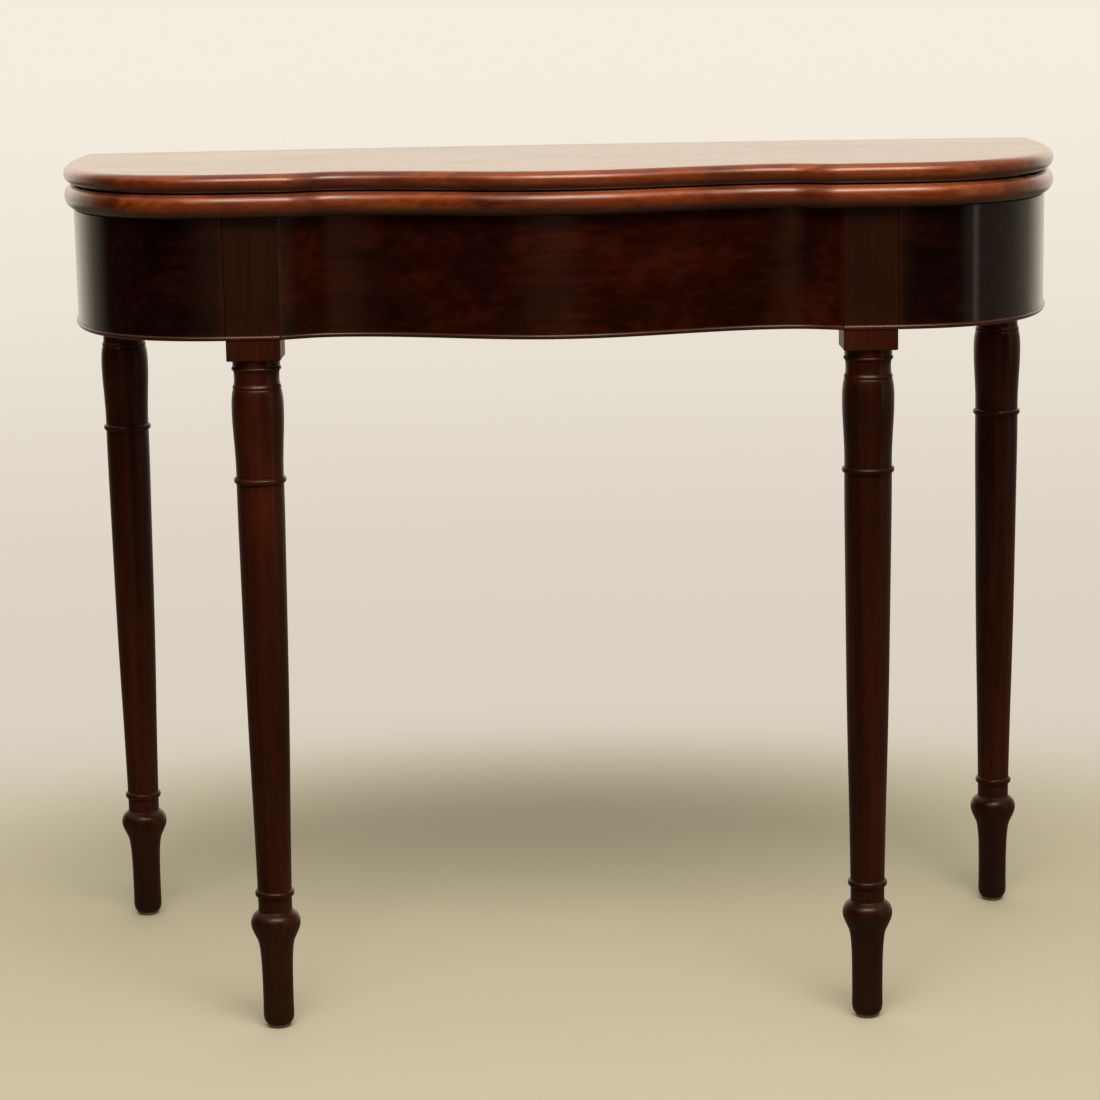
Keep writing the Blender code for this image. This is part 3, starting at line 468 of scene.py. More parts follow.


# %% [markdown]
# ## Five finishes from one recipe
# The top has faded in the daylight, and the front shows the wildest figure, because the best sheet of
# veneer went there. The round ends get darker tones than the front as painted shade, since less light
# falls on them. So the recipe is filled in five times, each time with three tones of wood, how far the
# edges are worn, how strong the figure is and how the polish shines.

# %% The five mahogany finishes
WORN = (0.150, 0.034, 0.010)
# Old wax and a painted highlight, for the pale line just below the joint.
WAX_AND_PAINTED_HIGHLIGHT = (0.42, 0.30, 0.19)
# Grime and painted shade for the lower half of a round edge.
GRIME_AND_PAINTED_SHADE = (0.030, 0.0070, 0.0025)
# The feet's darker tone towards the floor.
FOOT_DARKENING = (0.016, 0.0070, 0.0030)
STILE_TONE = (0.010, 0.0032, 0.0014)
HIGHLIGHT = (1.0, 0.74, 0.55)
FRONT = ((0.0080, 0.0008, 0.0003), (0.0230, 0.0024, 0.0007), (0.0560, 0.0080, 0.0020))
# The round ends' tones are painted shade: darker than the front, because less light falls on the ends.
SHADED_ENDS = ((0.0025, 0.0004, 0.0002), (0.0072, 0.0010, 0.0004), (0.0250, 0.0037, 0.0011))
STEM = ((0.0170, 0.0021, 0.0006), (0.0370, 0.0050, 0.0011), (0.0720, 0.0120, 0.0026))
FADED = ((0.0450, 0.0110, 0.0040), (0.1100, 0.0300, 0.0110), (0.2000, 0.0620, 0.0240))
ORANGE = ((0.1000, 0.0118, 0.0018), (0.2850, 0.0420, 0.0045), (0.4900, 0.1080, 0.0120))
board_finish = mahogany("leaf_mahogany", "X", FADED, 0.3, 0.25, (0.30, 0.5, 0.85, 0.19), leaf_marks)
front_finish = mahogany("front_veneer_mahogany", "X", FRONT, 0.1, 0.9, (0.34, 0.1, 0.75, 0.12))
shaded_end_finish = mahogany("end_veneer_mahogany", "X", SHADED_ENDS, 0.1, 0.9, (0.34, 0.1, 0.8, 0.12))
leg_finish = mahogany("leg_mahogany", "Z", STEM, 0.12, 0.1, (0.40, 0.2, 0.3, 0.17), leg_marks)
bead_finish = mahogany("bead_mahogany", "X", STEM, 0.3, 0.1, (0.34, 0.3, 0.7, 0.2))
print("mahogany finishes:", [m.name for m in bpy.data.materials if "mahogany" in m.name])

# %% [markdown]
# ## Bare wood behind the apron
# Where nobody looks, cabinet makers used cheaper wood straight from the plane and never polished
# it. It is pale, dusty and dry, darker where the air has browned it, and the plane left shallow
# tracks. No coat of polish here, so it stays rough.

# %% Inner wood material
DUST = (0.16, 0.10, 0.06)


def bare_wood(name, grain, pale, brown):
    """Unpolished wood with its grain along one axis, in two tones under a thin film of dust."""
    material, tree, shader = new_material(name)
    place = node(tree, "ShaderNodeTexCoord").outputs["Object"]
    rings = grain_noise(tree, place, grain, 2.0, 60.0, 5, 0.6, 1.2)
    fibres = grain_noise(tree, place, grain, 20.0, 600.0, 4, 0.6)
    dust = cloud_noise(tree, place, 7.0, 4.0, 0.5)
    tone = add_up(tree, (rings, 0.6), (fibres, 0.4))
    colour = ramp(tree, tone, [(0.34, brown), (0.62, pale)])
    colour = mix(tree, ramp(tree, dust, [(0.42, 0.0), (0.7, 0.6)]), colour, DUST)
    height = add_up(tree, (rings, 0.3), (fibres, 0.7))
    relief = node(tree, "ShaderNodeBump", {"Height": height, "Strength": 0.5, "Distance": 0.0003})
    rough = ramp(tree, fibres, [(0.3, 0.62), (0.7, 0.8)])
    tree.links.new(colour, shader.inputs["Base Color"])
    tree.links.new(rough, shader.inputs["Roughness"])
    tree.links.new(relief.outputs[0], shader.inputs["Normal"])
    return material


PALE_WOOD, BROWN_WOOD = (0.44, 0.225, 0.10), (0.23, 0.096, 0.038)
DRY_WOOD, DRY_GRIME = (0.17, 0.070, 0.033), (0.085, 0.032, 0.015)
inner_along = bare_wood("inner_wood_along", "X", PALE_WOOD, BROWN_WOOD)
inner_deep = bare_wood("inner_wood_deep", "Y", PALE_WOOD, BROWN_WOOD)
underside_finish = bare_wood("unpolished_mahogany", "X", DRY_WOOD, DRY_GRIME)
print("bare woods:", inner_along.name, inner_deep.name, underside_finish.name)

# %% [markdown]
# ## Old brass, iron and nickel
# Cast brass browns in the air and stays brighter where fingers and the other leaf rub it. Iron pins
# are dull and a little rusty. All three are metals: the base colour tints the reflection, and the
# roughness is broken up so that no two spots shine alike.

# %% Metal materials
def old_metal(name, bright, dull, low_rough, high_rough, spots):
    """A metal with bright and dull patches; spots is how many of them there are in a metre."""
    material, tree, shader = new_material(name)
    place = node(tree, "ShaderNodeTexCoord").outputs["Object"]
    patches = cloud_noise(tree, place, spots, 6.0, 0.65)
    fine = cloud_noise(tree, place, spots * 14, 3.0, 0.5)
    point = node(tree, "ShaderNodeNewGeometry").outputs["Pointiness"]
    edges = ramp(tree, point, [(0.5, 0.0), (0.58, 0.8)])
    colour = ramp(tree, patches, [(0.35, dull), (0.62, bright)])
    colour = mix(tree, edges, colour, bright)
    blotches = add_up(tree, (patches, 0.7), (fine, 0.3))
    rough = ramp(tree, blotches, [(0.3, high_rough), (0.7, low_rough)])
    height = add_up(tree, (fine, 1.0), (patches, 0.5))
    relief = node(tree, "ShaderNodeBump", {"Height": height, "Strength": 0.25, "Distance": 0.0001})
    shader.inputs["Metallic"].default_value = 1.0
    tree.links.new(colour, shader.inputs["Base Color"])
    tree.links.new(rough, shader.inputs["Roughness"])
    tree.links.new(relief.outputs[0], shader.inputs["Normal"])
    return material


brass_finish = old_metal("old_brass", (0.60, 0.41, 0.17), (0.22, 0.135, 0.055), 0.28, 0.55, 90.0)
iron_finish = old_metal("dull_iron", (0.20, 0.185, 0.17), (0.10, 0.06, 0.04), 0.45, 0.75, 80.0)
nickel_finish = old_metal("worn_nickel", (0.56, 0.50, 0.43), (0.27, 0.20, 0.15), 0.3, 0.55, 90.0)
print("metals:", brass_finish.name, iron_finish.name, nickel_finish.name)

# %% [markdown]
# ## The leaves
# Each leaf is one board with a full round edge, which the maker ran with a hollow plane. Rings of
# the outline, stepped in as the round falls away, give the edge. The round is a little fuller than
# a half circle, which the fullness says. The flat faces are filled with columns that run from the
# front to the straight rear edge, so that the next step can bend them.

# %% Shape of a leaf
ROUND_STEPS, STILE_STEPS, FACE_ROWS = 28, 8, 18
FULLNESS = 2.2
JOINT_GAP = 0.00008
REAR_ARRIS = 0.0012
FIRST_ROW_SHARE = 0.006


def leaf_line():
    face = STILE_FACE - LEAF_OVERHANG
    stile = [(STILE_INNER + LEG_WIDTH * i / STILE_STEPS, face) for i in range(STILE_STEPS + 1)]
    right = stile[1:] + end_line(LEAF_OVERHANG, STILE_OUTER, REAR_EDGE)[1:]
    return mirrored(right) + front_line(LEAF_OVERHANG, 0) + right


def leaf_levels(way):
    """For each step round the edge: height, how far in from the outline, and how far in at the rear."""
    thickness = LEAF_THICKNESS + LEAF_SPACING / 2 - JOINT_GAP
    radius = thickness / 2
    levels = []
    for i in range(ROUND_STEPS + 1):
        turn = math.pi * i / ROUND_STEPS
        fall = math.copysign(abs(math.cos(turn)) ** (2 / FULLNESS), math.cos(turn))
        depth = radius * (1 - fall)
        short = max(HINGE_EDGE_RADIUS - depth, 0)
        back = HINGE_EDGE_RADIUS - math.sqrt(HINGE_EDGE_RADIUS**2 - short**2)
        top = max(REAR_ARRIS - (thickness - depth), 0)
        back += REAR_ARRIS - math.sqrt(REAR_ARRIS**2 - top**2)
        inset = radius * (1 - math.sin(turn) ** (2 / FULLNESS))
        levels.append((LEAF_MEETING + way * (JOINT_GAP + depth), inset, back))
    return levels


def fill_face(shape, ring, back_row):
    """Fills a flat face with rows that go from the round edge's ring to the straight rear edge."""
    rows = [ring]
    for i in range(FACE_ROWS - 1):
        share = FIRST_ROW_SHARE + i / FACE_ROWS
        pairs = zip(ring[1:-1], back_row[1:-1])
        between_them = [shape.verts.new(a.co.lerp(b.co, share)) for a, b in pairs]
        rows.append([ring[0]] + between_them + [ring[-1]])
    rows.append(back_row)
    for front, behind in zip(rows, rows[1:]):
        for i in range(len(ring) - 1):
            corners = list(dict.fromkeys((front[i], front[i + 1], behind[i + 1], behind[i])))
            if len(corners) > 2:
                shape.faces.new(corners)


def leaf_board(name, way):
    """A leaf from its playing face outwards; way is 1 for the upper leaf and -1 for the lower one."""
    line = leaf_line()
    levels = leaf_levels(way)
    edge = []
    for height, inset, back in levels:
        ring = offset_line(line, -inset, LEFTWARDS, RIGHTWARDS)
        edge.append([(x, min(y, REAR_EDGE - back), height) for x, y in ring])
    shape = bmesh.new()
    edge = [[shape.verts.new(point) for point in ring] for ring in edge]
    for low, high in zip(edge, edge[1:]):
        for i in range(len(line) - 1):
            shape.faces.new((low[i], low[i + 1], high[i + 1], high[i]))
    reach = edge[0][-1].co.x
    rear = []
    for (height, _, back), ring in zip(levels, edge):
        spread = ring[-1].co.x / reach
        places = [(v.co.x * spread, REAR_EDGE - back, height) for v in edge[0][1:-1]]
        rear.append([ring[0]] + [shape.verts.new(place) for place in places] + [ring[-1]])
    for low, high in zip(rear, rear[1:]):
        for i in range(len(low) - 1):
            shape.faces.new((low[i + 1], low[i], high[i], high[i + 1]))
    fill_face(shape, edge[0], rear[0])
    fill_face(shape, edge[-1], rear[-1])
    return finished(name, shape)


lower_board = leaf_board("lower_leaf_board", -1)
upper_board = leaf_board("upper_leaf_board", 1)
print("faces in a leaf:", len(lower_board.data.polygons))

# %% [markdown]
# ## Two hundred years of bending
# Boards of that age are no longer flat. On the real table the joint between the leaves climbs
# towards the front and more so at the left, the upper board has lifted off at its front corners,
# and the top falls a little to its rear corners. `cup` and `warp` move each point by a smooth rule.
# The outer faces stay or fall, so the table keeps its outer size. The pale line of wax and painted
# highlight is drawn by height below the joint, so each point's height from before the bending is
# stored as an attribute, and the line follows the joint wherever it goes.

# %% Cup and warp
CUP, CUP_TWIST, CUP_REACH = 0.0019, 0.4, 0.12
CORNER_LIFT, CROWN = 0.0016, 0.0012
LIFT_FROM_X, LIFT_FULL_X = 0.34, 0.45
LIFT_FULL_Y, LIFT_GONE_Y = 0.04, 0.14


def smooth_step(value, low, high):
    t = min(max((value - low) / (high - low), 0), 1)
    return t * t * (3 - 2 * t)


def cup(board):
    """Bends the two faces that meet up a little towards the front, and more so at the left end."""
    below = board.data.attributes.new(BELOW_JOINT, "FLOAT", "POINT")
    for vertex in board.data.vertices:
        x, y, z = vertex.co
        below.data[vertex.index].value = LEAF_MEETING - z
        near = max(1 - abs(z - LEAF_MEETING) / LEAF_THICKNESS, 0)
        more = 1 - CUP_TWIST * 2 * x / TABLE_WIDTH
        vertex.co.z += CUP * more * near * (1 - smooth_step(y, -CUP_REACH, CUP_REACH))


def warp(board):
    """Lifts the underside at the front corners and lets the top fall a little to the rear corners."""
    low = LEAF_MEETING + LEAF_SPACING / 2
    for vertex in board.data.vertices:
        x, y, z = vertex.co
        up = (z - low) / LEAF_THICKNESS
        sideways = smooth_step(abs(x), LIFT_FROM_X, LIFT_FULL_X)
        lift = sideways * (1 - smooth_step(y, LIFT_FULL_Y, LIFT_GONE_Y))
        fall = (2 * x / TABLE_WIDTH) ** 2 * (0.5 + y / TABLE_DEPTH) ** 2
        vertex.co.z += CORNER_LIFT * lift * (1 - up) - CROWN * fall * up


cup(upper_board)
cup(lower_board)
warp(upper_board)
highest = max(vertex.co.z for vertex in upper_board.data.vertices)
print("top of the bent upper board in mm:", round(1000 * highest, 2))

# %% [markdown]
# ## Letting the hinges in
# The brass plates lie flush in the playing faces, so each leaf needs a recess as deep as the plate
# and a deeper one for the knuckle. A Boolean modifier chops them as a chisel would, and its result
# is kept as a plain mesh. The underside that sits on the rails was never polished, so its faces
# get the bare wood.

# %% Hinge recesses
HINGE_INSET = 0.040
HINGE_X = TABLE_WIDTH / 2 - HINGE_INSET
HINGE_LENGTH, HINGE_WIDTH, STRAP_THICKNESS = 0.062, 0.014, 0.0022
FIT, OVERCUT = 0.00015, 0.002
DOWNWARDS = -0.99


def chop_hinge_recesses(board, way):
    """Cuts both recesses. The outline is a side view: forwards from the rear edge, then the depth."""
    face = LEAF_MEETING + way * LEAF_SPACING / 2
    deep = 2 * HINGE_EDGE_RADIUS + FIT
    shallow = STRAP_THICKNESS + FIT
    outline = (
        (-OVERCUT, -OVERCUT),
        (-OVERCUT, deep),
        (deep, deep),
        (deep, shallow),
        (HINGE_LENGTH + FIT, shallow),
        (HINGE_LENGTH + FIT, -OVERCUT),
    )
    section = [(REAR_EDGE - forward, face + way * depth) for forward, depth in outline]
    half = HINGE_WIDTH / 2 + FIT
    shape = bmesh.new()
    for _, side in SIDES:
        ends = (side * HINGE_X - half, side * HINGE_X + half)
        skin(shape, [[(x, y, z) for y, z in section] for x in ends])
    cutter = finished(board.name + "_cutter", shape)
    modifier = board.modifiers.new("hinge recesses", "BOOLEAN")
    modifier.solver = "EXACT"
    modifier.object = cutter
    run_modifiers(board)
    bpy.data.objects.remove(cutter, do_unlink=True)
    shade(board.data)


def leave_underside_dry(board):
    """Nobody polished the face that sits on the rails."""
    board.data.materials.append(underside_finish)
    for face in board.data.polygons:
        if face.normal.z < DOWNWARDS and face.center.z < LEAF_UNDERSIDE + FITTING_GAP:
            face.material_index = 1


chop_hinge_recesses(lower_board, -1)
chop_hinge_recesses(upper_board, 1)
for board, node_name, body in (
    (lower_board, "lower_leaf", "table_frame"),
    (upper_board, "upper_leaf", "folding_leaf"),
):
    board.data.materials.clear()
    board.data.materials.append(board_finish)
    if board == lower_board:
        leave_underside_dry(board)
    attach(board, body)
    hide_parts(node_name)
    print(node_name, "faces with its recesses:", len(board.data.polygons))

# %% [markdown]
# ## The apron
# The rails are thick blocks of plain wood, sawn to the curve and faced with a thin sheet of figured
# mahogany. Both are a section carried along the same line: the veneer is a skin of a little over a
# millimetre, and the core behind it keeps a step below for the bead.

# %% Rails and their veneer
VENEER = 0.0012
VENEER_ARRIS_LOW, VENEER_ARRIS_HIGH = 0.0002, 0.0003
GLUE_LINE = 0.00005
CORE_ARRIS = 0.0008
FACE_SHARES = (0.0, 0.012, 0.04, 0.2, 0.4, 0.6, 0.8, 0.96, 0.988, 1.0)


def carried(shape, section, line, moved, side):
    """Carries a section of (outwards, height) points along a line in plan."""
    lines = [[(side * x, y, z) for x, y in moved(line, out)] for out, z in section]
    skin(shape, [list(ring) for ring in zip(*lines)])


def clipped(line, reach):
    return [(max(min(x, reach), -reach), y) for x, y in line]


seat = RAIL_BOTTOM + BEAD_HEIGHT
face_low, face_high = seat + VENEER_ARRIS_LOW, RAIL_TOP - VENEER_ARRIS_HIGH
veneer_face = [(0, face_low + share * (face_high - face_low)) for share in FACE_SHARES]
veneer_foot = [(-VENEER, seat), (-VENEER_ARRIS_LOW, seat)]
veneer_section = veneer_foot + veneer_face + [(-VENEER_ARRIS_HIGH, RAIL_TOP), (-VENEER, RAIL_TOP)]
core_section = (
    (-BEAD_SEAT, RAIL_BOTTOM),
    (-BEAD_SEAT, seat),
    (-VENEER - GLUE_LINE, seat + GLUE_LINE),
    (-VENEER - GLUE_LINE, RAIL_TOP),
    (-RAIL_THICKNESS + CORE_ARRIS, RAIL_TOP),
    (-RAIL_THICKNESS, RAIL_TOP - CORE_ARRIS),
    (-RAIL_THICKNESS, RAIL_BOTTOM + CORE_ARRIS),
    (-RAIL_THICKNESS + CORE_ARRIS, RAIL_BOTTOM),
)


def rail(name, line, moved, side, cad_node, veneer_finish):
    """A veneer and a core along one line. Together they stand for the one CAD rail."""
    for part, section, finish, slot in (
        ("veneer", veneer_section, veneer_finish, "mahogany"),
        ("core", core_section, inner_along, "inner_wood"),
    ):
        shape = bmesh.new()
        carried(shape, section, line, moved, side)
        piece = finished(name + "_" + part, shape)
        piece.data.materials.append(finish)
        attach(piece, "table_frame")
        if part == "veneer":
            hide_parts(cad_node)


APRON_REACH = STILE_INNER - SEAM


def between_stiles(points, distance):
    """The front line moved in or out. A point that passes a stile on the way joins the line's end."""
    moved = front_offset(points, distance)
    left, right = moved[0], moved[-1]
    return [left if x <= -APRON_REACH else right if x >= APRON_REACH else (x, y) for x, y in moved]


front_run = clipped(apron_front, APRON_REACH)
rail("front_apron", front_run, between_stiles, 1, "front_rail", front_finish)
for name, side in SIDES:
    rail(name + "_end_apron", apron_end, end_offset, side, name + "_end_rail", shaded_end_finish)
front_width = front_run[-1][0] - front_run[0][0]
print("front apron between the stiles in mm:", round(1000 * front_width, 1))

# %% [markdown]
# ## The bead along the apron's foot
# A thin round strip, bent to the curve and let into the step, finishes the veneer's lower edge. A
# bead that follows a path is a job for Geometry Nodes, and so is the turning that comes later. The
# helpers here open a tree with named inputs, close it the same way each time, and run it.

# %% Helpers for Geometry Nodes trees
def new_tree(name, inputs):
    """A Geometry Nodes tree with a geometry input and output, and named inputs."""
    tree = bpy.data.node_groups.new(name, "GeometryNodeTree")
    face = tree.interface
    face.new_socket("Geometry", in_out="INPUT", socket_type="NodeSocketGeometry")
    for label, (kind, value) in inputs.items():
        socket = face.new_socket(label, in_out="INPUT", socket_type="NodeSocket" + kind)
        if value is not None:
            socket.default_value = value
    face.new_socket("Geometry", in_out="OUTPUT", socket_type="NodeSocketGeometry")
    return tree, node(tree, "NodeGroupInput").outputs


def close_tree(tree, geometry, material):
    """Every tree ends the same way: its instances become plain meshes, shaded smooth and given the
    finish.
    """
    real = node(tree, "GeometryNodeRealizeInstances", {"Geometry": geometry})
    smooth = node(tree, "GeometryNodeSetShadeSmooth", {"Geometry": real.outputs[0]})
    painted = node(
        tree, "GeometryNodeSetMaterial", {"Geometry": smooth.outputs[0], "Material": material}
    )
    node(tree, "NodeGroupOutput", {"Geometry": painted.outputs[0]})


def grow(name, tree, points, edges, values, place=(0, 0, 0)):
    """Runs a tree on a path or on points, and keeps the result as a plain mesh in its place."""
    mesh = bpy.data.meshes.new(name)
    mesh.from_pydata(points, edges, [])
    obj = bpy.data.objects.new(name, mesh)
    bpy.context.scene.collection.objects.link(obj)
    modifier = obj.modifiers.new(tree.name, "NODES")
    modifier.node_group = tree
    for item in tree.interface.items_tree:
        if item.item_type == "SOCKET" and item.in_out == "INPUT" and item.name in values:
            modifier[item.identifier] = values[item.name]
    run_modifiers(obj)
    obj.data.transform(Matrix.Translation(place))
    shade(obj.data)
    return obj


def circle(tree, sides, radius):
    sizes = {"Resolution": sides, "Radius": radius}
    return node(tree, "GeometryNodeCurvePrimitiveCircle", sizes).outputs[0]


def sweep(tree, curve, profile, capped):
    run = {"Curve": curve, "Profile Curve": profile, "Fill Caps": capped}
    return node(tree, "GeometryNodeCurveToMesh", run).outputs[0]


# %% [markdown]
# ## The bead's own tree
# Three nodes do the work: the path becomes a curve, a circle becomes its section, and a sweep
# carries the one along the other.

# %% Bead tree
bead_inputs = {"Radius": ("Float", 0.002), "Sides": ("Int", 16), "Finish": ("Material", None)}
bead_tree, given = new_tree("bead_along_a_path", bead_inputs)
path = node(bead_tree, "GeometryNodeMeshToCurve", {"Mesh": given["Geometry"]}).outputs[0]
section = circle(bead_tree, given["Sides"], given["Radius"])
close_tree(bead_tree, sweep(bead_tree, path, section, True), given["Finish"])
print("nodes in the bead's tree:", len(bead_tree.nodes))

# %% [markdown]
# ## Laying the beads
# Five lengths of bead go round the table: one along the front, one across each stile, and one along
# each end. They stop a hair short of each other, and that hair is the seam that one can see.

# %% Lay the beads
BEAD_SIDES = 20
BEAD_RADIUS, BEAD_PROJECTION, BEAD_SINK = 0.00205, 0.0015, 0.00005
BEAD_FORWARD = BEAD_PROJECTION - BEAD_RADIUS
bead_height = RAIL_BOTTOM + BEAD_HEIGHT / 2 - BEAD_SINK
stile_path = [(STILE_INNER + SEAM, STILE_FACE), (STILE_OUTER - SEAM, STILE_FACE)]
bead_paths = [("front_bead", 1, front_offset(clipped(apron_front, STILE_INNER), BEAD_FORWARD))]
for name, side in SIDES:
    bead_paths.append((name + "_stile_bead", side, front_offset(stile_path, BEAD_FORWARD)))
    bead_paths.append((name + "_end_bead", side, end_offset(apron_end, BEAD_FORWARD)))
for name, side, line in bead_paths:
    points = [(side * x, y, bead_height) for x, y in line]
    links = [(i, i + 1) for i in range(len(points) - 1)]
    values = {"Radius": BEAD_RADIUS, "Sides": BEAD_SIDES, "Finish": bead_finish}
    bead = grow(name + "_moulding", bead_tree, points, links, values)
    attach(bead, "table_frame")
    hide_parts(name)
print("beads:", len(bead_paths))

# %% [markdown]
# ## Turning the legs
# A turner shapes a leg by holding a gouge to a spinning square of wood, so its form is one line of
# radii along the axis. The list below is that line, top to bottom: the neck rings, the vase, the
# collar, the long taper, the lower collar, the bulb and the slim foot. `faired` draws a smooth line
# through the points and keeps the sharp corners that a turner cuts with the tip of the tool.

# %% Profile of a leg in millimetres
LEG_PROFILE_MM = (
    (594.8, 20.3), (588.3, 20.3), (587.8, 20.9), (587.0, 21.25), (586.1, 21.15), (585.4, 20.7),
    (585.1, 19.9), (583.6, 19.6), (580, 19.35), (576, 19.45), (573, 19.9), (571.9, 20.5),
    (570.9, 20.9), (569.9, 20.7), (569.3, 20.3), (568.3, 20.75), (564, 21.6), (559.5, 22.1),
    (553, 22.3), (546, 22.25), (540, 22.1), (532, 21.7), (525, 21.3), (516, 20.85),
    (507.7, 20.5), (500, 20.35), (493.3, 20.3), (492.9, 20.95), (492.2, 21.9), (491.2, 22.4),
    (490.2, 22.45), (489.1, 22.25), (488.2, 21.6), (487.7, 20.9), (487.4, 20.42), (473, 20.4),
    (450, 20.25), (420, 19.9), (385, 19.5), (350, 19.1), (320, 18.75), (296, 18.4),
    (260, 17.75), (230, 17.1), (206, 16.5), (170, 15.75), (134, 15.1), (127.3, 15.0),
    (126.0, 15.0), (125.5, 15.9), (124.6, 16.8), (123.4, 17.15), (122.0, 17.15), (120.8, 16.8),
    (119.9, 15.9), (119.4, 14.95), (112, 14.8), (107, 14.9), (105.6, 16.4), (104, 18.5), (101.5, 20.4),
    (98.5, 21.5), (95.5, 21.8), (92, 21.4), (88, 20.0), (84, 18.2), (80, 16.4),
    (75, 15.2), (70, 14.6), (60, 13.9), (50, 13.6), (35, 13.45), (20, 13.4), (9, 13.3),
    (6, 12.6), (3.3, 10.8),
)  # fmt: skip
CORNER_DEGREES = 40
FAIRING_STEPS = 3


def faired(profile):
    """Draws a smooth line through the points and leaves the sharp corners of the cut sharp."""
    points = [Vector((r, z)) for z, r in profile]
    tangents = []
    for i, point in enumerate(points):
        before = point - points[max(i - 1, 0)]
        after = points[min(i + 1, len(points) - 1)] - point
        corner = i in (0, len(points) - 1) or before.angle(after) > math.radians(CORNER_DEGREES)
        tangents.append((before, after, corner))
    line = [points[0]]
    for i in range(len(points) - 1):
        a, b = points[i], points[i + 1]
        chord = b - a
        pulls = []
        for before, after, corner in (tangents[i], tangents[i + 1]):
            if corner or before.length == 0 or after.length == 0:
                pulls.append(chord)
            else:
                run = (before.normalized() * after.length + after.normalized() * before.length)
                pulls.append(run.normalized() * chord.length)
        for k in range(1, FAIRING_STEPS + 1):
            t = k / FAIRING_STEPS
            line.append(
                a * (2 * t**3 - 3 * t**2 + 1)
                + pulls[0] * (t**3 - 2 * t**2 + t)
                + b * (3 * t**2 - 2 * t**3)
                + pulls[1] * (t**3 - t**2)
            )
    return [(point.y, point.x) for point in line]


leg_profile = [(z / 1000, r / 1000) for z, r in faired(LEG_PROFILE_MM)]
print("points on the turner's line:", len(leg_profile))

# %% [markdown]
# ## The lathe
# A sweep needs a path with a length, so the wood can't spin about a single point. The tree carries
# the line round a circle, the hub, and the line is drawn the hub's radius inwards, which brings
# every point back to its true distance from the axis. What ends on the axis is welded to one point.

# %% Lathe tree
HUB = 0.1
POLE_WELD = 0.00001
LEG_SIDES = 72
lathe_inputs = {"Hub": ("Float", HUB), "Sides": ("Int", 64), "Finish": ("Material", None)}
lathe_tree, given = new_tree("turned_on_a_lathe", lathe_inputs)
line = node(lathe_tree, "GeometryNodeMeshToCurve", {"Mesh": given["Geometry"]}).outputs[0]
spun = sweep(lathe_tree, circle(lathe_tree, given["Sides"], given["Hub"]), line, False)
weld_poles = {"Geometry": spun, "Distance": POLE_WELD}
welded = node(lathe_tree, "GeometryNodeMergeByDistance", weld_poles)
close_tree(lathe_tree, welded.outputs[0], given["Finish"])
print("nodes in the lathe's tree:", len(lathe_tree.nodes))


def turned(name, profile, place, finish, sides):
    """Turns (height, radius) pairs, listed from the top down. The tree's profile hangs from its hub."""
    top, bottom = profile[0][0], profile[-1][0]
    whole = [(top, 0.0)] + list(profile) + [(bottom, 0.0)]
    points = [(radius - HUB, -height, 0) for height, radius in whole]
    links = [(i, i + 1) for i in range(len(points) - 1)]
    return grow(name, lathe_tree, points, links, {"Hub": HUB, "Sides": sides, "Finish": finish}, place)


# %% [markdown]
# ## The square above the turning
# The turner leaves the top of each leg square. It comes up flush with the apron as a stile, its
# corners lightly eased with a plane, and on the front legs a small groove crosses it for the bead.

# %% Square posts
POST_ARRIS, POST_FOOT_ARRIS, POST_TOP_ARRIS = 0.0008, 0.0007, 0.0003
FOOT_RING, GROOVE_RING = 0.002, 0.001
POST_RING_SHARES = (0.8, 0.6, 0.4, 0.2, 0.02)
TURNING_SINK = 0.0004


def post_ring(x, y, z, shrink, groove):
    """A square with eased corners and a few points along each side, so that wear stays at the corners."""
    half = LEG_WIDTH / 2 - shrink
    front = -half + groove
    corners = ((-half, half), (-half, front), (half, front), (half, half))
    ring = []
    for (ax, ay), (bx, by) in zip(corners, corners[1:] + corners[:1]):
        length = math.hypot(bx - ax, by - ay)
        hold = 2 * POST_ARRIS
        for reach in (POST_ARRIS, hold, length / 2, length - hold, length - POST_ARRIS):
            t = reach / length
            ring.append((x + ax + t * (bx - ax), y + ay + t * (by - ay), z))
    return ring


def add_post(leg, x, y, top, grooved):
    """Adds the square to a turned leg. A level is a height, how far the ring shrinks, and the groove."""
    low, high = RAIL_BOTTOM - SEAM, RAIL_BOTTOM + BEAD_HEIGHT
    levels = [(BLOCK_BOTTOM, POST_FOOT_ARRIS, 0), (BLOCK_BOTTOM + POST_FOOT_ARRIS, 0, 0)]
    levels.append((BLOCK_BOTTOM + FOOT_RING, 0, 0))
    if grooved:
        levels += [(low - GROOVE_RING, 0, 0), (low, 0, 0), (low, 0, BEAD_SEAT)]
        levels += [(high, 0, BEAD_SEAT), (high, 0, 0), (high + GROOVE_RING, 0, 0)]
    levels += [(top - share * APRON_HEIGHT, 0, 0) for share in POST_RING_SHARES]
    levels += [(top - POST_TOP_ARRIS, 0, 0), (top, POST_TOP_ARRIS, 0)]
    shape = bmesh.new()
    shape.from_mesh(leg.data)
    skin(shape, [post_ring(x, y, z, shrink, groove) for z, shrink, groove in levels])
    keep(shape, leg.data)


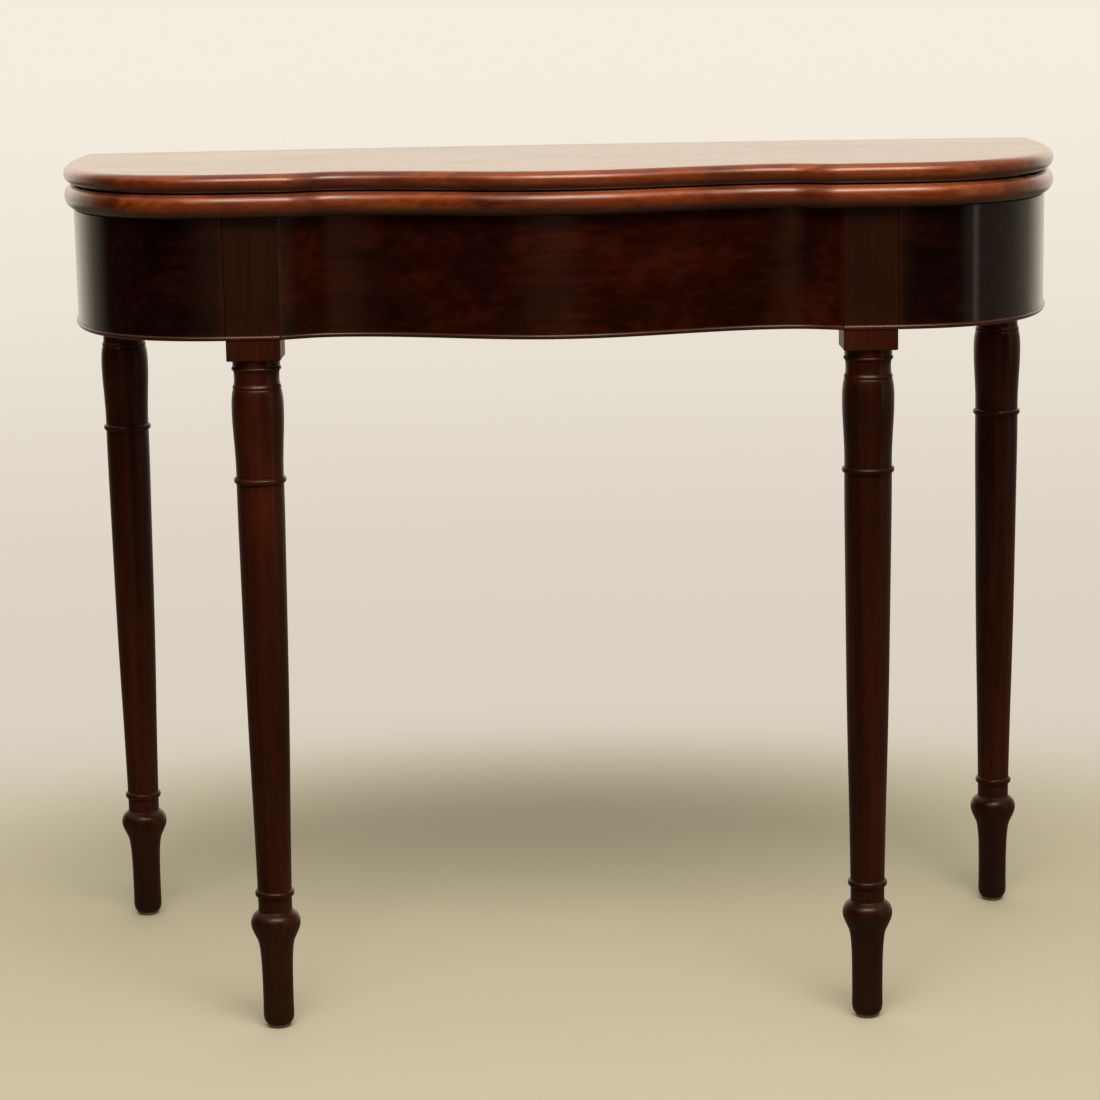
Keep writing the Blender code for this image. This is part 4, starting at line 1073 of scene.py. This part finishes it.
leg_places = []
for name, side in SIDES:
    front_place = (side * FRONT_LEG_SPACING / 2, STILE_FACE + LEG_WIDTH / 2, RAIL_TOP)
    rear_place = (side * REAR_LEG_X, REAR_LEG_Y, FLY_TOP)
    leg_places.append((name + "_front", *front_place, True, "table_frame"))
    leg_places.append((name + "_rear", *rear_place, False, name + "_fly_leg"))
for name, x, y, top, grooved, body in leg_places:
    sunk = [(BLOCK_BOTTOM + TURNING_SINK, leg_profile[0][1])] + leg_profile[1:]
    leg = turned(name + "_turned_leg", sunk, (x, y, 0), leg_finish, LEG_SIDES)
    add_post(leg, x, y, top, grooved)
    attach(leg, body)
    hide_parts(name + "_leg")
print("faces in a leg:", len(leg.data.polygons))

# %% [markdown]
# ## Glides
# A domed nickel nail under each foot lets the table slide. It is turned by the same tree from a
# profile of its own: a low dome, a rim and a stem that goes up into the foot.

# %% Turn the glides
GLIDE_MM = (
    (17.0, 0.4), (14.2, 1.5), (3.0, 1.5), (3.0, 10.1), (2.8, 10.3), (1.4, 10.25), (0.7, 9.7),
    (0.25, 8.2), (0.06, 6.0), (0.0, 3.0),
)  # fmt: skip
GLIDE_SIDES = 48
glide_profile = [(z / 1000, r / 1000) for z, r in GLIDE_MM]
for name, x, y, top, grooved, body in leg_places:
    glide = turned(name + "_domed_glide", glide_profile, (x, y, 0), nickel_finish, GLIDE_SIDES)
    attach(glide, body)
    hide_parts(name + "_glide")
print("faces in a glide:", len(glide.data.polygons))

# %% [markdown]
# ## Fittings and inner rails
# The swinging rails with their wooden knuckles, the blocks and the brass hinges already have their
# true shapes in the CAD model. A plane or a file takes the sharpness off such edges, so each one is
# copied, its split corners are welded, and a narrow bevel eases the edges. A Bevel modifier does
# that for any shape, where drawing every small flat by hand would take a page for each piece.

# %% Eased copies
PLANED, BRACE_PLANED, WIRE, FILED_PLATE, FILED_PIN = 0.0008, 0.001, 0.0004, 0.00025, 0.0002
BEVEL_SEGMENTS = 2
CORNER_WELD = 0.00001
FLAT_DEGREES = 1


def eased_copy(cad_node, suffix, width, finish):
    """A copy of a CAD piece with welded corners and a bevel of the given width along its edges."""
    source = frame["nodes"][cad_node]
    shape = bmesh.new()
    shape.from_mesh(source.data)
    bmesh.ops.remove_doubles(shape, verts=shape.verts, dist=CORNER_WELD)
    flat = math.radians(FLAT_DEGREES)
    bmesh.ops.dissolve_limit(shape, angle_limit=flat, verts=shape.verts, edges=shape.edges)
    piece = finished(cad_node + suffix, shape)
    bevel = piece.modifiers.new("eased edges", "BEVEL")
    bevel.width = width
    bevel.segments = BEVEL_SEGMENTS
    bevel.limit_method = "ANGLE"
    bevel.angle_limit = math.radians(ARRIS_DEGREES)
    run_modifiers(piece)
    shape = bmesh.new()
    shape.from_mesh(piece.data)
    keep(shape, piece.data)
    piece.data.materials.clear()
    piece.data.materials.append(finish)
    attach(piece, source["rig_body"])
    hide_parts(cad_node)
    return piece


for cad_node in ("knuckle_rail", "left_fly_rail", "right_fly_rail", "inner_back_rail"):
    eased_copy(cad_node, "_planed", PLANED, inner_along)
eased_copy("medial_brace", "_planed", BRACE_PLANED, inner_deep)
for name, side in SIDES:
    for part in ("front_block", "end_block", "corner_block"):
        eased_copy(name + "_" + part, "_sawn", PLANED, inner_along)
    eased_copy(name + "_knuckle_pin", "_wire", WIRE, iron_finish)
    for part in ("lower_hinge_plate", "upper_hinge_plate", "hinge_link"):
        eased_copy(name + "_" + part, "_filed", FILED_PLATE, brass_finish)
    for part in ("lower_hinge_pin", "upper_hinge_pin"):
        link_pin = eased_copy(name + "_" + part, "_filed", FILED_PIN, brass_finish)
print("faces in a filed hinge pin:", len(link_pin.data.polygons))

# %% [markdown]
# ## Screws
# Early screws have hand filed slots that all stand at odd angles. Geometry Nodes put the same screw
# on every point and turn each one by a seeded random angle. The head is a cone with a bar cut out of
# it by a Boolean, and the shank is a slimmer cone, so a wider head or a deeper slot is only a number.

# %% Screw tree
screw_tree, given = new_tree(
    "countersunk_screws",
    {
        "Head radius": ("Float", 0.003),
        "Head depth": ("Float", 0.0017),
        "Shank radius": ("Float", 0.0013),
        "Length": ("Float", 0.012),
        "Slot width": ("Float", 0.0006),
        "Slot depth": ("Float", 0.0008),
        "Tilt": ("Rotation", (0.0, 0.0, 0.0)),
        "Seed": ("Int", 7),
        "Finish": ("Material", None),
    },
)


def times(value, share):
    return calculate(screw_tree, "MULTIPLY", value, share)


def lowered(mesh, depth):
    down = node(screw_tree, "ShaderNodeCombineXYZ", {"Z": times(depth, -1.0)}).outputs[0]
    moved = {"Geometry": mesh, "Translation": down}
    return node(screw_tree, "GeometryNodeTransform", moved).outputs[0]


head_sizes = {
    "Vertices": 24,
    "Radius Top": given["Head radius"],
    "Radius Bottom": given["Shank radius"],
    "Depth": given["Head depth"],
}
head = node(screw_tree, "GeometryNodeMeshCone", head_sizes).outputs["Mesh"]
slot_sides = {
    "X": given["Slot width"],
    "Y": times(given["Head radius"], 3.0),
    "Z": times(given["Slot depth"], 2.0),
}
slot_size = node(screw_tree, "ShaderNodeCombineXYZ", slot_sides).outputs[0]
slot_bar = node(screw_tree, "GeometryNodeMeshCube", {"Size": slot_size}).outputs["Mesh"]
cut = {"Mesh 1": lowered(head, given["Head depth"]), "Mesh 2": slot_bar}
slotted = node(screw_tree, "GeometryNodeMeshBoolean", cut, operation="DIFFERENCE").outputs["Mesh"]
shank_sizes = {
    "Vertices": 16,
    "Radius Top": given["Shank radius"],
    "Radius Bottom": times(given["Shank radius"], 0.4),
    "Depth": calculate(screw_tree, "SUBTRACT", given["Length"], given["Head depth"]),
}
shank = node(screw_tree, "GeometryNodeMeshCone", shank_sizes).outputs["Mesh"]
screw = node(screw_tree, "GeometryNodeJoinGeometry")
screw_tree.links.new(slotted, screw.inputs[0])
screw_tree.links.new(lowered(shank, given["Length"]), screw.inputs[0])
spin = node(
    screw_tree,
    "FunctionNodeRandomValue",
    {"Min": (0.0, 0.0, 0.0), "Max": (0.0, 0.0, math.pi), "Seed": given["Seed"]},
    data_type="FLOAT_VECTOR",
)
own_turn = node(screw_tree, "FunctionNodeEulerToRotation", {0: spin.outputs["Value"]})
turned_over = node(
    screw_tree,
    "FunctionNodeRotateRotation",
    {"Rotation": own_turn.outputs[0], "Rotate By": given["Tilt"]},
    rotation_space="GLOBAL",
)
driven = node(
    screw_tree,
    "GeometryNodeInstanceOnPoints",
    {
        "Points": given["Geometry"],
        "Instance": screw.outputs[0],
        "Rotation": turned_over.outputs[0],
    },
)
close_tree(screw_tree, driven.outputs[0], given["Finish"])

# %% [markdown]
# ## Driving the screws
# Each CAD screw is a plain solid, and the middle of its head gives the point for one screw of the
# tree. The screws of the upper leaf and of the blocks go in from below, so they are turned over.

# %% Drive the screws
UPSIDE_DOWN = (math.pi, 0.0, 0.0)
SLOT_WIDTH_SHARE, SLOT_DEPTH_SHARE = 0.22, 0.45
HINGE_SCREW_SEED, BLOCK_SCREW_SEED = 3, 5


def screw_points(nodes, at_top):
    """The middle of each CAD screw's head, at its top or at its bottom."""
    points = []
    for cad_node in nodes:
        low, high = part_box(cad_node)
        points.append(((low.x + high.x) / 2, (low.y + high.y) / 2, high.z if at_top else low.z))
    return points


def drive(name, nodes, at_top, body, finish, sizes, seed):
    """Drives a screw at each node. sizes: head radius, head depth, shank radius and length."""
    values = dict(zip(("Head radius", "Head depth", "Shank radius", "Length"), sizes))
    values["Slot width"] = sizes[0] * SLOT_WIDTH_SHARE
    values["Slot depth"] = sizes[1] * SLOT_DEPTH_SHARE
    values.update({"Seed": seed, "Finish": finish})
    if not at_top:
        values["Tilt"] = UPSIDE_DOWN
    screws = grow(name, screw_tree, screw_points(nodes, at_top), [], values)
    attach(screws, body)
    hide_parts(*nodes)
    return screws


hinge_sizes = (0.003, 0.0017, 0.0013, 0.0118)
for level, at_top, body in (("lower", True, "table_frame"), ("upper", False, "folding_leaf")):
    nodes = [f"{name}_{level}_hinge_screw_{i}" for name, _ in SIDES for i in (1, 2)]
    set_name = f"{level}_hinge_screws"
    drive(set_name, nodes, at_top, body, brass_finish, hinge_sizes, HINGE_SCREW_SEED)
block_nodes = [f"{name}_{part}_screw" for name, _ in SIDES for part in ("front", "end")]
block_sizes = (0.004, 0.002, 0.002, 0.0378)
block_screws = drive(
    "block_screws", block_nodes, False, "table_frame", iron_finish, block_sizes, BLOCK_SCREW_SEED
)
print("faces in the block screws:", len(block_screws.data.polygons))

# %% [markdown]
# ## The floor
# The floor is plain and pale and only has to carry the shadow. It grows transparent away from the
# table, so that no hard line shows where it meets the wall. Polish mirrors the room, not this disc,
# so the floor is hidden from reflections, and the world gives them their own floor.

# %% Stage
FLOOR_RADIUS = 6.0
FLOOR_COLOUR = (0.725, 0.687, 0.505, 1)
FLOOR_FADE = (0.5, 1.0)
floor_mesh = bmesh.new()
bmesh.ops.create_circle(floor_mesh, cap_ends=True, radius=FLOOR_RADIUS, segments=96)
floor = finished("floor", floor_mesh)
floor_paint, tree, shader = new_material("floor_paint")
shader.inputs["Base Color"].default_value = FLOOR_COLOUR
shader.inputs["Roughness"].default_value = 0.9
place = node(tree, "ShaderNodeTexCoord").outputs["Object"]
far = node(tree, "ShaderNodeVectorMath", {0: place}, operation="LENGTH").outputs["Value"]
gone = fade(tree, far, *FLOOR_FADE, kind="SMOOTHSTEP")
clear = node(tree, "ShaderNodeBsdfTransparent")
blended = node(tree, "ShaderNodeMixShader", {0: gone, 1: shader.outputs[0], 2: clear.outputs[0]})
tree.links.new(blended.outputs[0], tree.nodes["Material Output"].inputs["Surface"])
floor.data.materials.append(floor_paint)
floor.visible_glossy = False
print("floor radius in m:", FLOOR_RADIUS)

# %% [markdown]
# ## The room that the polish mirrors
# Polished dark wood shows little of its own colour. What the eye reads as its shape is the room it
# mirrors, so the room is painted with care, by direction only: X to the right, Y to the back and Z
# up. The wall behind the table is bright, and low down in its middle it lies in the table's shade.
# The room in front is dim, with a doorway and one bright edge on the right, a faint lit patch in
# the middle and a pale ceiling. The camera doesn't see this room but a plain background, because
# the light path tells a camera's ray from a mirrored one.

# %% Colours of the room
BACKGROUND_HIGH = (0.90, 0.84, 0.74)
BACKGROUND_MIDDLE = (0.71, 0.64, 0.54)
BACKGROUND_LOW = (0.60, 0.53, 0.37)
WALL = (0.90, 0.80, 0.66)
WALL_SIDE = (0.30, 0.27, 0.20)
WALL_HIGH = (1.10, 0.95, 0.77)
ROOM = (0.004, 0.003, 0.002)
LIT_AHEAD = (0.25, 0.12, 0.07)
DOORWAY = (0.20, 0.18, 0.14)
BRIGHT_EDGE = (1.1, 1.1, 1.05)
FAR_FLOOR = (0.12, 0.095, 0.065)
SHADED_WALL = (0.09, 0.075, 0.045)
CEILING = (0.50, 0.47, 0.42)

# %% World
world = bpy.data.worlds.new("plain_room")
bpy.context.scene.world = world
world.use_nodes = True
tree = world.node_tree
tree.nodes.clear()
look = node(tree, "ShaderNodeTexCoord").outputs["Generated"]
split = node(tree, "ShaderNodeSeparateXYZ", {0: look}).outputs


def between(direction_part, low, high):
    """0 at low and 1 at high with a soft change. A low above high turns the mask round."""
    return fade(tree, direction_part, low, high, kind="SMOOTHSTEP")


def both(one, other):
    return calculate(tree, "MULTIPLY", one, other)


across, back, up = split["X"], split["Y"], split["Z"]
around = fade(tree, back, -1.0, 1.0)
wall_stops = [(0.84, WALL_SIDE), (0.97, WALL)]
left_room = ramp(tree, around, [(0.68, ROOM)] + wall_stops)
right_stops = [(0.17, ROOM), (0.215, DOORWAY), (0.265, DOORWAY), (0.278, BRIGHT_EDGE)]
right_stops += [(0.29, BRIGHT_EDGE), (0.32, DOORWAY), (0.66, DOORWAY)]
right_room = ramp(tree, around, right_stops + wall_stops)
room = mix(tree, between(across, 0.2, 0.5), left_room, right_room)
near_middle = both(between(across, -0.60, -0.08), between(across, 0.35, 0.0))
lit_ahead = both(near_middle, between(back, -0.75, -0.9))
room = mix(tree, lit_ahead, room, LIT_AHEAD)
high_wall = both(between(up, -0.05, 0.07), between(back, 0.7, 0.95))
room = mix(tree, high_wall, room, WALL_HIGH)
straight_behind = both(between(across, -0.15, -0.11), between(across, 0.15, 0.11))
low_wall = both(between(up, -0.01, -0.05), between(back, 0.85, 0.95))
room = mix(tree, both(straight_behind, low_wall), room, SHADED_WALL)
room = mix(tree, between(up, 0.35, 0.8), room, CEILING)
room = mix(tree, between(up, -0.095, -0.22), room, FAR_FLOOR)
seen = node(tree, "ShaderNodeLightPath").outputs["Is Camera Ray"]
background = mix(tree, between(up, -0.22, -0.02), BACKGROUND_MIDDLE, BACKGROUND_HIGH)
background = mix(tree, between(up, -0.225, -0.27), background, BACKGROUND_LOW)
shown = mix(tree, seen, room, background)
sky = node(tree, "ShaderNodeBackground", {"Color": shown, "Strength": 1.0})
node(tree, "ShaderNodeOutputWorld", {"Surface": sky.outputs[0]})
print("nodes in the room:", len(tree.nodes))

# %% [markdown]
# ## Two soft lamps
# A wide soft lamp overhead, a little in front of the table, draws the bright line along the round
# edges of the leaves. A smaller one inside it makes the middle of that line brighter, as a window
# does, because a highlight on real polish is seldom even.

# %% Lamps
LAMP_COLOUR = (1.0, 0.93, 0.84)
LAMP_AIM = (0, 0, 0.5)


def softbox(name, place, width, depth, power):
    """A soft oblong lamp aimed at the table: width and depth in metres, power in watts."""
    lamp = bpy.data.lights.new(name, "AREA")
    lamp.shape = "RECTANGLE"
    lamp.size = width
    lamp.size_y = depth
    lamp.energy = power
    lamp.color = LAMP_COLOUR
    obj = bpy.data.objects.new(name, lamp)
    obj.location = place
    aim = Vector(LAMP_AIM) - Vector(place)
    obj.rotation_euler = aim.to_track_quat("-Z", "Y").to_euler()
    bpy.context.scene.collection.objects.link(obj)
    return obj


softbox("ceiling_lamp", (0.1, -1.65, 2.5), 3.2, 1.5, 30)
lamp_core = softbox("ceiling_lamp_core", (0.2, -1.6, 2.45), 1.7, 0.7, 24)
print("small lamp's height in m:", round(lamp_core.location.z, 2))

# %% [markdown]
# ## The camera
# The picture was taken from standing height, straight on and through a long lens. The camera's
# place and its three angles were worked out from the feet, the posts and the corners of the top.
# The yaw turns it sideways, the pitch tips it down, and the roll is the small tilt of a hand.

# %% Camera
SENSOR_WIDTH_MM, LENS_MM = 36.0, 99.33
CAMERA_PLACE = (-0.00994, -2.7259, 0.8990)
CAMERA_YAW, CAMERA_PITCH, CAMERA_ROLL = -0.0013, 0.1825, -0.0178
camera = bpy.data.cameras.new("photo_view")
camera.sensor_width = SENSOR_WIDTH_MM
camera.lens = LENS_MM
eye = bpy.data.objects.new("photo_view", camera)
bpy.context.scene.collection.objects.link(eye)
tipped = math.cos(CAMERA_PITCH)
ahead = (math.sin(CAMERA_YAW) * tipped, math.cos(CAMERA_YAW) * tipped, -math.sin(CAMERA_PITCH))
ahead = Vector(ahead)
level = Vector((math.cos(CAMERA_YAW), -math.sin(CAMERA_YAW), 0))
upright = level.cross(ahead)
sideways = level * math.cos(CAMERA_ROLL) + upright * math.sin(CAMERA_ROLL)
upwards = -level * math.sin(CAMERA_ROLL) + upright * math.cos(CAMERA_ROLL)
turn = Matrix((sideways, upwards, -ahead)).transposed()
eye.matrix_world = Matrix.Translation(CAMERA_PLACE) @ turn.to_4x4()
bpy.context.scene.camera = eye
bpy.context.scene.view_settings.view_transform = "Standard"
print("camera to the table's front in m:", round(STILE_FACE - CAMERA_PLACE[1], 2))
